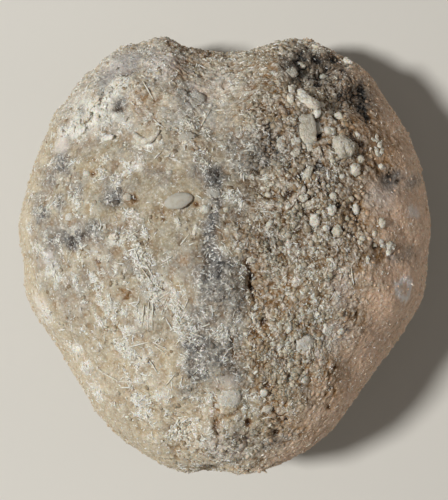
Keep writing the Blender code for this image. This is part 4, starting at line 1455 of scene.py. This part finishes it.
@dataclass(frozen=True)
class StoneFinish:
    """Milky limestone: tan matrix, grey stains, amber and umber painted shade in hollows and seams, cream
    margins, a rosy margin that is partly its own tint and partly painted reflection, painted highlight on
    crests, white crust.
    """

    matrix_light: Colour = srgb(188, 181, 163)
    matrix_deep: Colour = srgb(156, 145, 122)
    matrix_grey: Colour = srgb(150, 143, 134)
    dun: Colour = srgb(136, 116, 86)
    cream: Colour = srgb(208, 194, 167)
    rosy_tint_and_reflection: Colour = srgb(230, 196, 169)
    blue_grey: Colour = srgb(88, 88, 88)
    ash: Colour = srgb(154, 153, 150)
    amber: Colour = srgb(148, 108, 56)
    tan: Colour = srgb(156, 124, 88)
    honey: Colour = srgb(168, 126, 84)
    gold: Colour = srgb(186, 167, 132)
    pale_grey: Colour = srgb(206, 203, 195)
    umber_shade: Colour = srgb(96, 64, 34)
    bark: Colour = srgb(100, 74, 44)
    dark_stain_and_shadow: Colour = srgb(42, 31, 23)
    white: Colour = srgb(236, 232, 222)
    milk: Colour = srgb(236, 229, 226)
    bright: Colour = srgb(250, 248, 243)
    strokes: tuple[Stroke, ...] = (
        Stroke(0.75, 0.24, 0.2, 0.22), Stroke(0.55, 0.16, 0.9, 0.3), Stroke(0.9, 0.26, 1.5, 0.18),
        Stroke(0.5, 0.16, 2.3, 0.3), Stroke(0.4, 0.22, 2.8, 0.3),
    )

    def material(self) -> bpy.types.Material:
        """The stone's material, from the marks at its vertices and fine noise between them."""
        s = Shader("limestone")
        broad, middle, fine = s.noise(3.6, 3), s.noise(1.3, 3), s.noise(0.42, 3, 0.6)
        dust, sugar, crystal = s.noise(0.17, 2, 0.6), s.crystals(0.36), s.crystals(0.2)
        hollow_shade, crest_highlight, pit, grey, coarse, crust, dark_stain_and_shadow = map(s.mark, (
            "hollow_shade", "crest_highlight", "pit", "blue_grey", "coarse", "crust", "dark_stain_and_shadow"))
        cream, rosy_tint_and_reflection, seam, amber, frost, tone, milk, deep, front = map(s.mark, (
            "cream", "rosy_tint_and_reflection", "seam", "amber", "frost", "tone", "milk", "deep", "front"))
        glassy = s.mark("bare") * amber
        # The matrix, and the knobs and grains in it.
        s.colour = self.matrix_light
        s.coat(self.matrix_deep, middle.step(0.36, 0.64) * 0.7 + 0.5 * fine - 0.15)
        s.coat(self.matrix_grey, broad.step(0.42, 0.6) * (0.8 - 0.4 * coarse))
        s.coat(self.gold, broad.step(0.5, 0.32) * (0.4 - 0.3 * coarse) * middle.step(0.35, 0.55))
        s.coat(self.pale_grey, 0.85 * front)
        s.coat(self.dun, coarse * (0.55 + 0.5 * middle))
        s.coat(self.bark, deep * coarse * (0.4 + 0.6 * middle))
        s.coat(self.cream, tone.step(0.6, 0.9) * (0.3 + 0.4 * coarse) * (1.0 - 0.6 * deep))
        s.coat(self.tan, tone.step(0.35, 0.1) * (0.1 + 0.5 * coarse))
        inside, own = s.grains(0.72, 0.2)
        packed = (0.6 * coarse + 0.6 * amber + 0.15).held() * (1.0 - 0.7 * glassy)
        s.coat(self.cream, own.step(0.45, 0.9) * (packed + 0.5 * front).held() * 0.8)
        gap = inside.step(0.18, 0.03) * middle.step(0.3, 0.5)
        # The stains, from the broad ones to the amber of the pits and the painted shade in hollows and seams.
        s.coat(self.cream, cream * (0.5 + 0.6 * fine))
        # Rosy coat on the right flank: partly own tint, partly painted reflection.
        s.coat(self.rosy_tint_and_reflection, rosy_tint_and_reflection * (0.45 + 0.6 * middle + 0.35 * fine))
        s.coat(self.tan, amber * (0.1 + 0.8 * fine))
        s.coat(self.honey, glassy * (0.5 + middle))
        s.coat(self.ash, grey * 0.9)
        speckled = fine.step(0.46, 0.58) * 0.8 + dust.step(0.48, 0.6) * 0.3 + 0.1
        s.coat(self.blue_grey, grey * speckled + 0.6 * (grey - 0.7).held())
        # Painted shade: tan, amber and umber darken hollows, seams and pits, and the dark stain deepens in
        # hollows.
        s.coat(self.tan, hollow_shade.step(0.08, 0.5) * (0.3 + 0.4 * coarse) * (1.0 - 0.6 * grey))
        crevice_stain_and_shade = hollow_shade.step(0.4, 0.95) * (0.2 + 0.5 * coarse) + pit * 0.8 + seam + gap * packed
        s.coat(self.amber, crevice_stain_and_shade * (1.0 - 0.6 * grey))
        s.coat(self.umber_shade, (seam + pit) * hollow_shade.step(0.2, 0.9))
        s.coat(self.dark_stain_and_shadow, dark_stain_and_shadow * (0.75 + 0.9 * hollow_shade) * (0.5 + 0.5 * fine.step(0.2, 0.5)))
        # Painted glitter and shade of single crystals, painted shade in hollows with the DEEP patches darker,
        # and the white on top with a painted highlight on crests.
        pore = s.crystals(0.27).step(0.86, 0.92) * (0.12 + 0.25 * coarse + 0.35 * grey) * (1.0 - 0.7 * glassy)
        glitter_share = 0.4 + 0.6 * (0.5 * coarse + front + grey - glassy).held()
        lit = 0.96 + glitter_share * (0.26 * (sugar - 0.5) + 0.36 * (crystal - 0.4))
        # Painted shade in hollows, stronger in DEEP patches and grey stains; the DEEP patches are darker as
        # well.
        shade = (0.34 * deep + (0.4 * deep + 0.3 * grey) * hollow_shade.step(0.15, 0.8)).held()
        s.colour = s.scaled(s.colour, lit * (1.0 - shade) * (1.0 - pore))
        grit = crystal.step(0.55, 0.8) * (0.5 * frost + 0.25 * coarse) + 0.25 * crystal.step(0.88, 0.94)
        # Painted highlight: crests are whitened, along with the crust, frost and grit.
        pale = crest_highlight * (0.2 + 0.35 * coarse) + 0.12 * frost + crust * middle.step(0.15, 0.45) * 1.2 + grit
        s.coat(self.white, pale.held() * (0.9 - 0.8 * dark_stain_and_shadow) * (1.0 - 0.5 * grey - 0.5 * glassy))
        strewn = (0.16 + 0.84 * frost * (1.0 - 0.8 * coarse) + 0.35 * grey) * (1.0 - rosy_tint_and_reflection)
        strewn = strewn * (1.0 - 0.6 * dark_stain_and_shadow) * (1.0 - 0.7 * front)
        curl = s.wavering(0.8, 0.25)
        for stroke in self.strokes:
            s.coat(self.bright, s.needles(curl, stroke) * strewn)
        s.coat(self.milk, milk * (0.7 + 0.8 * fine))
        height = 0.35 * fine + 0.2 * dust + 0.3 * sugar + 0.15 * crystal
        height = height + 0.8 * packed * inside.step(0.0, 0.3)
        return s.finish((0.8 - 0.35 * crystal.step(0.7, 0.9)).held(), s.bumped(height, 0.2), 0.45, 0.45)


@dataclass(frozen=True)
class ChipFinish:
    """The finish of what is cemented on: one colour turning into another from piece to piece."""

    name: str
    first: tuple[int, int, int]
    second: tuple[int, int, int]
    shade: tuple[int, int, int]
    shine: float
    roughness: float
    bump: float = 0.05
    stained: float = 0.6
    glow: float = 0.4
    sugary: float = 0.0

    def material(self) -> bpy.types.Material:
        """The material, with each piece's own tint, the stone's stains with their painted shadow and painted
        reflection, and marks between the crystals.
        """
        s = Shader(self.name)
        fine, middle, sugar = s.noise(0.16, 2, 0.6), s.noise(0.5, 2), s.crystals(0.3)
        first, second, shade = (srgb(*colour) for colour in (self.first, self.second, self.shade))
        s.colour = s.blend(first, second, s.mark("tint"))
        s.coat(shade, self.sugary * sugar.step(0.5, 1.0))
        s.coat(shade, 0.5 * middle.step(0.42, 0.75) + 0.3 * fine.step(0.45, 0.8))
        s.coat(StoneFinish.blue_grey, s.mark("blue_grey") * self.stained)
        # The rosy coat is partly painted reflection, and the dark coat partly painted shadow.
        s.coat(StoneFinish.rosy_tint_and_reflection, s.mark("rosy_tint_and_reflection") * self.stained)
        s.coat(StoneFinish.tan, s.mark("amber") * (0.5 * self.stained))
        s.coat(StoneFinish.dark_stain_and_shadow, s.mark("dark_stain_and_shadow") * self.stained)
        height = s.bumped(fine + self.sugary * sugar, self.bump)
        return s.finish((self.roughness + 0.25 * fine).held(), height, self.shine, self.glow)


# ---------------------------------------------------------------- the assembly


@dataclass
class FossilDressing:
    """Builds every visible piece of the fossil and joins it to the frame."""

    body: str = "root"
    slot: str = "fossil_stone"
    node: str = "sea_urchin"
    seed: int = 20

    def join(self, piece: bpy.types.Object, material: bpy.types.Material) -> None:
        """Gives a piece its finish and makes it part of the fossil."""
        piece.data.materials.append(material)
        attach(piece, self.body)
        LOG.info("%s: %d triangles", piece.name, len(piece.data.polygons))

    def build(self) -> None:
        """Builds the stone first, and then what its vertices carry."""
        skin = Skin(UrchinForm(), PlanEye())
        stone, ground = StoneBody(skin).build()
        self.join(stone, StoneFinish().material())
        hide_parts(self.node)
        cemented = Cemented(skin, ground, np.random.default_rng(self.seed))
        self.strewn(cemented)
        self.named(cemented)

    def strewn(self, cemented: Cemented) -> None:
        """What lies strewn: crumbs of rock, chips of crust, fallen spines, specks and margin beads."""
        ground = cemented.ground
        plan, fall = ground["plan"], ground["fall"]
        fine, coarse, flank, under = cemented.skin.coarseness(plan, fall).values()
        rough, crust, dark_stain_and_shadow, amber, frost, front = (
            ground[name] for name in ("rough", "crust", "dark_stain_and_shadow", "amber", "frost", "front"))
        shares = {"bare": 0.85, "blue_grey": 0.2, "stood": 0.9, "dark_stain_and_shadow": 0.6, "deep": 0.4}
        open_skin = math.prod(1.0 - share * ground[name] for name, share in shares.items())
        patch = smooth_step(-0.1, 0.45, smooth_noise(ground["point"], 1.1, 92))
        inner = 1.0 - 0.6 * smooth_step(10.0, 17.0, plan[:, 0]) * smooth_step(8.0, -4.0, plan[:, 1])
        weight = coarse * inner * rough * (0.6 + amber) + 0.05 * fine + 0.08 * under + 0.3 * dark_stain_and_shadow
        self.strew(cemented, CRUMBS, weight * open_skin * (0.2 + patch) * (1.0 - 0.7 * front))
        weight = 2.4 * crust + fine * (0.03 + frost) + coarse * (0.08 + 0.4 * frost + 0.15 * patch) * inner
        self.strew(cemented, CRUST, (weight + 0.05 * dark_stain_and_shadow + 0.02 * flank + 0.04 * under) * open_skin)
        weight = fine * (0.05 + 0.9 * frost) + coarse * (0.02 + 0.1 * frost) + 0.1 * under + 0.4 * crust
        fallen = cemented.spines(FALLEN_COUNT, weight * open_skin * (1.0 - 0.6 * front))
        self.join(fallen, FALLEN_SPINE.material())
        weight = fine * (0.05 + 0.6 * frost) + coarse * inner * (0.12 + 0.16 * patch + 0.3 * frost) + crust
        self.strew(cemented, SPECKS, (weight + 0.12 * dark_stain_and_shadow + 0.06 * flank + 0.08 * under) * open_skin)
        self.strew(cemented, GRIT, flank * 0.3 + 2.0 * rim_band(fall, 1.2, 1.45) * (1.0 - 0.6 * coarse))

    def strew(self, cemented: Cemented, kind: Litter, weight: Array) -> None:
        """Strews one kind of thing by weight and joins it to the fossil."""
        self.join(cemented.strew(kind, weight), kind.finish.material())

    def named(self, cemented: Cemented) -> None:
        """The lumps, long spines, crescent and lens that stand out at places of their own."""
        for kind in STANDING:
            self.join(cemented.placed(kind), kind.finish.material())
        self.join(cemented.crystals(LUMP_CRYSTALS), LUMP_CRYSTALS.finish.material())
        self.join(cemented.placed(SLAB), SLAB.finish.material())
        self.join(cemented.laid("long_spines", SPINES, 0.085, 1.1), WHITE_CALCITE.material())
        self.join(cemented.laid("shell_crescent", CRESCENT, 0.4, 0.5), PLATE_CALCITE.material())
        self.join(cemented.placed(LENS), LENS.finish.material())


# ---------------------------------------------------------------- places and kinds of what is cemented on


BEADS = (
    (13.3, 15.4, 0.95, 1.3, 0), (15.7, 10.5, 0.95, 0.9, 0), (15.1, 9.3, 1.5, 1.4, 30),
    (18.2, 9.6, 0.8, 0.7, 0), (12.6, 6.2, 0.9, 1.0, 0), (12.4, 4.7, 1.3, 1.15, 80),
    (10.5, 3.5, 1.5, 1.25, 100), (15.3, 4.8, 1.3, 0.8, 95), (5.3, 3.1, 1.0, 0.7, 60, 0.5),
    (5.1, 6.4, 0.8, 0.7, 0), (13.1, 2.3, 1.3, 1.15, 90), (18.1, 3.1, 1.1, 0.85, 80),
    (17.3, 1.9, 0.6, 0.6, 0), (18.1, 1.0, 0.7, 0.6, 0), (15.9, 1.3, 0.7, 0.6, 0),
    (7.5, -9.1, 1.0, 0.8, 70, 0.4), (7.3, -10.6, 0.6, 0.5, 0), (13.5, -9.4, 0.9, 0.8, 0, 0.5),
    (4.6, -16.4, 0.85, 0.8, 0, 0.3), (9.3, -14.9, 1.4, 1.3, 0, 0.8), (-2.1, 4.7, 1.15, 0.95, 20, 0.3),
    (-11.1, 6.1, 0.95, 0.85, 0, 0.2), (-15.8, 8.8, 0.9, 0.8, 0, 0.4), (-6.3, 8.9, 0.7, 0.6, 0),
    (12.5, 10.3, 0.6, 0.5, 0), (13.6, 8.5, 0.7, 0.5, 30), (14.6, 5.9, 0.7, 0.6, 0), (13.4, 7.4, 0.6, 0.6, 0),
    (11.7, 2.5, 0.7, 0.7, 0), (15.7, 0.9, 0.8, 0.6, 0), (0.2, 4.7, 0.7, 0.7, 0, 0.5),
    (15.4, 13.4, 0.8, 0.5, -30), (12.0, 7.4, 0.6, 0.5, 20), (14.2, 3.6, 0.6, 0.6, 0),
)
PLATES = (
    (13.85, 12.0, 2.3, 2.5, 20, 0.5), (19.1, 0.5, 1.2, 0.9, 0), (7.9, 18.7, 1.5, 0.7, 60),
    (3.2, -0.9, 1.0, 1.0, 20, 0.4), (9.7, 8.9, 1.8, 0.8, 60, -0.3), (12.0, -9.2, 1.4, 1.2, 80, 0.6),
    (17.6, 11.4, 1.2, 0.6, 100), (7.7, 20.4, 1.3, 1.2, 0, -0.2), (9.0, 21.6, 1.0, 0.9, 0, -0.2),
    (11.6, 20.2, 1.1, 0.8, 40, -0.2), (10.9, 14.0, 0.9, 1.4, 20), (5.0, -18.2, 1.0, 0.9, 0, 0.5),
    (6.6, 12.6, 1.0, 1.8, 0, 0.3), (8.2, 11.2, 1.2, 0.8, 40, 0.2), (12.2, 13.6, 1.1, 1.0, 0, 0.1),
    (9.2, 6.0, 0.9, 0.8, 20, 0.2),
)
CHIPS = (
    (-13.2, 12.8, 1.5, 0.7, 0), (-18.3, 13.3, 0.8, 0.7, 0), (-15.9, 13.5, 1.1, 0.7, 30),
    (-16.6, 14.4, 0.8, 0.9, 0), (-15.2, 15.1, 1.0, 0.8, 40), (-14.2, 15.9, 1.3, 0.8, 40),
    (-14.5, 16.9, 0.9, 0.7, 20), (-13.3, 18.3, 1.0, 0.7, 35), (-12.4, 19.2, 1.1, 0.7, 20),
    (-11.4, 19.7, 0.9, 0.6, 10), (7.9, 18.3, 0.6, 1.4, 10), (17.6, 12.9, 0.9, 0.4, 60),
    (17.9, 12.2, 0.5, 0.9, 10), (18.2, 11.5, 0.4, 1.1, -20), (17.2, 12.7, 0.6, 0.4, -30),
    (14.1, 21.4, 1.0, 0.7, -30), (10.5, 23.5, 0.8, 0.5, -25), (8.7, 24.3, 1.2, 0.5, 0),
    (-12.5, 1.4, 0.9, 0.7, 0), (-17.4, 2.1, 1.4, 0.7, -20), (-3.3, 2.3, 0.4, 0.9, -15),
    (18.4, 0.5, 1.4, 0.6, -20), (-11.0, 8.9, 1.1, 0.6, 20), (16.5, -1.0, 0.4, 1.0, -5),
    (-19.2, -2.1, 1.0, 0.6, 20), (18.9, -0.2, 0.5, 0.8, 10), (17.5, 0.7, 0.4, 0.6, 0),
)
MILKY = (
    (-12.1, 15.3, 2.2, 1.3, -32, 0.1), (0.5, -17.4, 3.1, 2.6, 70, 0.88), (-3.1, 17.7, 2.0, 1.7, 0, 0.6),
    (-15.8, -14.0, 0.8, 1.5, 10), (-1.2, 6.6, 1.5, 1.3, 0, 0.3), (9.4, -10.9, 2.2, 2.0, 0, 0.8),
    (-18.0, 3.9, 1.0, 0.9, 0, 0.6), (-4.3, 13.0, 1.6, 0.9, 10, 0.3),
)
KNUCKLES = (
    (9.1, 18.0, 1.5, 0.85, -62), (9.8, 17.1, 2.3, 1.2, -42), (11.0, 16.75, 1.5, 0.6, 15),
    (10.7, 15.8, 0.8, 1.4, 0), (10.4, 16.7, 1.1, 1.3, -10), (7.7, 18.5, 0.45, 1.3, -12),
    (7.6, 17.4, 0.7, 1.2, 10), (14.1, 21.3, 0.9, 0.5, -35),
)
SPINES = (
    (-8.6, -5.9, -8.6, -9.3), (-8.1, -6.1, -8.1, -9.2), (-5.5, -5.7, -4.6, -6.8), (-4.6, -6.8, -4.1, -5.6),
    (-12.7, -10.5, -11.0, -11.1), (-11.0, -11.1, -8.5, -10.5), (-14.4, -13.6, -12.1, -15.1),
    (-12.1, -15.1, -9.0, -15.1), (-11.9, -15.8, -10.6, -15.8), (-3.9, -9.4, -2.4, -10.0),
    (-8.1, -10.5, -6.6, -11.3), (-7.9, -11.0, -6.8, -11.7), (-9.3, 19.3, -8.1, 17.3),
    (-4.1, 14.9, -2.6, 14.9), (-2.7, 14.1, -1.5, 16.1), (-1.0, 16.0, 0.1, 16.0), (-8.1, 15.1, -7.2, 14.2),
    (-9.4, -2.1, -8.2, -3.7), (-8.8, -1.8, -7.9, -3.4), (-9.1, -6.2, -9.3, -8.6), (-5.0, 0.6, -3.9, 1.9),
    (-5.6, -7.6, -4.8, -8.9), (-2.5, -8.8, -1.6, -8.5), (-10.0, -12.0, -10.3, -12.7),
    (-7.9, 14.6, -6.9, 14.1), (-8.0, 10.5, -7.2, 11.3), (14.6, -2.1, 14.9, -4.1), (-5.5, -10.8, -4.7, -9.8),
    (-5.9, -9.2, -6.6, -7.8), (-11.0, 1.4, -9.8, 2.3), (-7.6, -5.7, -6.2, -4.8), (-6.6, -15.4, -5.5, -14.0),
    (-9.6, -17.2, -8.5, -16.2), (-8.5, -12.6, -7.6, -14.0), (-7.0, -1.4, -5.9, -0.7),
    (-10.2, 0.0, -9.7, -1.4),
)
SLABS = ((9.4, 13.7, 3.6, 2.0, -88, -0.7), (8.2, 12.5, 1.0, 0.8, 20), (9.9, 12.0, 1.2, 0.7, 95))
CRESCENT = ((-10.4, 13.4, -7.4, 13.6, -1.2),)
LENSES = ((-5.2, 5.6, 3.1, 1.7, 14),)

ROCK = ChipFinish("rock_crumb", (204, 196, 180), (138, 121, 96), (122, 99, 68),
                  0.45, 0.4, stained=0.9, glow=0.7)
CRUST_CHIP = ChipFinish("crust_chip", (240, 236, 226), (216, 207, 190), (186, 170, 146),
                        0.4, 0.55, stained=0.35)
FALLEN_SPINE = ChipFinish("spine_calcite", (250, 247, 241), (230, 223, 209), (214, 202, 182),
                          0.45, 0.5, 0.02, 0.3)
SPECK = ChipFinish("speck_calcite", (252, 250, 245), (230, 223, 210), (210, 198, 176),
                   0.6, 0.3, 0.0, 0.3)
MARGIN_BEAD = ChipFinish("margin_bead", (208, 188, 160), (176, 154, 128), (160, 134, 106),
                         0.35, 0.6, 0.02, 0.8)
BEAD = ChipFinish("bead_calcite", (228, 225, 216), (210, 204, 190), (188, 178, 158),
                  0.4, 0.45, 0.1, glow=0.7, sugary=0.5)
PLATE_CALCITE = ChipFinish("plate_calcite", (230, 227, 218), (210, 204, 191), (188, 178, 158),
                           0.4, 0.55, 0.16, sugary=0.9)
WHITE_CALCITE = ChipFinish("white_calcite", (246, 243, 236), (228, 221, 208), (204, 192, 170),
                           0.4, 0.55, 0.14, sugary=0.7)
MILKY_CALCITE = ChipFinish("milky_calcite", (212, 208, 200), (196, 190, 178), (176, 167, 150), 0.4, 0.5, 0.08)
LENS_CALCITE = ChipFinish("lens_calcite", (184, 180, 170), (184, 180, 170), (160, 150, 132), 0.35, 0.55, 0.06)

CRUMBS = Litter("rock_crumbs", ROCK, twenty_faces(), 5600, (0.13, 0.5), 2.4, sunk=0.5, smooth=True)
CRUST = Litter("crust_chips", CRUST_CHIP, twenty_faces(), 4800, (0.07, 0.26), 2.2,
               (1.0, 0.35, 0.3), (1.7, 0.8, 0.6), uneven=0.34)
FALLEN_COUNT = 2800
SPECKS = Litter("calcite_specks", SPECK, eight_faces(), 16000, (0.05, 0.19), 2.2,
                (0.9, 0.3, 0.3), (1.8, 0.8, 0.7), sunk=0.15)
GRIT = Litter("margin_beads", MARGIN_BEAD, twenty_faces(), 7000, (0.07, 0.2), 2.0,
              (0.9, 0.8, 0.6), (1.2, 1.1, 0.9), uneven=0.25, lean=0.3, sunk=0.45)
LUMP_CRYSTALS = Litter("lump_crystals", WHITE_CALCITE, eight_faces(), 26, (0.05, 0.15), 1.6,
                       (0.9, 0.5, 0.4), (1.5, 0.9, 0.7))
STANDING = (
    Lumps("round_beads", BEAD, BEADS, 1.0, 0.12, 1.0, 0.25),
    Lumps("shell_plates", PLATE_CALCITE, PLATES, 0.75, 0.2, 0.65, 0.1),
    Lumps("white_plates", WHITE_CALCITE, CHIPS, 0.7, 0.36, 0.7, 0.15),
    Lumps("milky_plates", MILKY_CALCITE, MILKY, 0.9, 0.07, 0.4, 0.3),
    Lumps("white_knuckles", WHITE_CALCITE, KNUCKLES, 0.8, 0.16, 0.8, -0.1),
)
SLAB = Lumps("fibrous_plate", PLATE_CALCITE, SLABS, 0.45, 0.08, 0.5, 0.0)
LENS = Lumps("lens_plate", LENS_CALCITE, LENSES, 1.15, 0.03, 0.5, 0.0)


# ---------------------------------------------------------------- the studio


@dataclass(frozen=True)
class Studio:
    """A plain pale floor, a soft key light on the left, a weak warm fill on the right, and a dim sky."""

    eye: PlanEye
    view_length: float = 57.21
    sensor_mm: float = 36.0
    key_power: float = 2.7
    key_distance: float = 0.55
    key_rise: float = 57.0
    key_size: float = 0.08
    fill_power: float = 0.32
    fill_rise: float = 20.0
    fill_size: float = 0.3
    sky: float = 0.12
    floor_half: float = 1.5

    def build(self) -> None:
        """Makes the floor, the lights and the camera."""
        floor_mesh = bpy.data.meshes.new("floor")
        side = self.floor_half
        corners = [(-side, -side, 0), (side, -side, 0), (side, side, 0), (-side, side, 0)]
        floor_mesh.from_pydata(corners, [], [(0, 1, 2, 3)])
        floor = bpy.data.objects.new("floor", floor_mesh)
        bpy.context.scene.collection.objects.link(floor)
        paint = Shader("floor_paper")
        paint.colour = srgb(214, 211, 205)
        floor_mesh.materials.append(paint.finish(0.9, paint.bumped(paint.noise(1.5), 0.01), 0.2, 0.0))
        self.lights()
        self.camera()

    def lights(self) -> None:
        """The key light on the left, a weak warm fill low on the right, and the sky."""
        self.lamp("key", -1.0, self.key_rise, self.key_size, self.key_power, (1.0, 0.995, 0.965))
        self.lamp("fill", 1.0, self.fill_rise, self.fill_size, self.fill_power, (1.0, 0.9, 0.82))
        world = bpy.data.worlds.new("studio")
        world.use_nodes = True
        background = world.node_tree.nodes["Background"].inputs
        background["Color"].default_value = (1.0, 0.965, 0.9, 1.0)
        background["Strength"].default_value = self.sky
        bpy.context.scene.world = world

    def lamp(self, name: str, side: float, rise: float, size: float, power: float, colour: tuple) -> None:
        """A round area light on the left (side -1) or right (side 1), some degrees above the floor."""
        data = bpy.data.lights.new(name, "AREA")
        data.shape = "DISK"
        data.size = size
        data.energy = power
        data.color = colour
        light = bpy.data.objects.new(name, data)
        up = math.radians(rise)
        light.location = (side * self.key_distance * math.cos(up), 0.0, self.key_distance * math.sin(up))
        light.rotation_euler = (0.0, side * (HALF_TURN / 2 - up), 0.0)
        bpy.context.scene.collection.objects.link(light)

    def camera(self) -> None:
        """A camera straight above the fossil, its top edge towards the front notch."""
        data = bpy.data.cameras.new("camera")
        data.sensor_fit = "VERTICAL"
        data.sensor_height = self.sensor_mm
        data.lens = self.sensor_mm * (self.eye.height - self.eye.level) / self.view_length
        data.clip_start = 0.005
        camera = bpy.data.objects.new("camera", data)
        camera.location = (self.eye.across * MM, self.eye.along * MM, self.eye.height * MM)
        bpy.context.scene.collection.objects.link(camera)
        bpy.context.scene.camera = camera
        bpy.context.scene.view_settings.view_transform = "Standard"


def main() -> None:
    """Builds the fossil's looks and the studio."""
    logging.basicConfig(level=logging.INFO, format="%(message)s")
    FossilDressing().build()
    Studio(PlanEye()).build()
    bpy.context.view_layer.update()


if __name__ == "__main__":
    main()
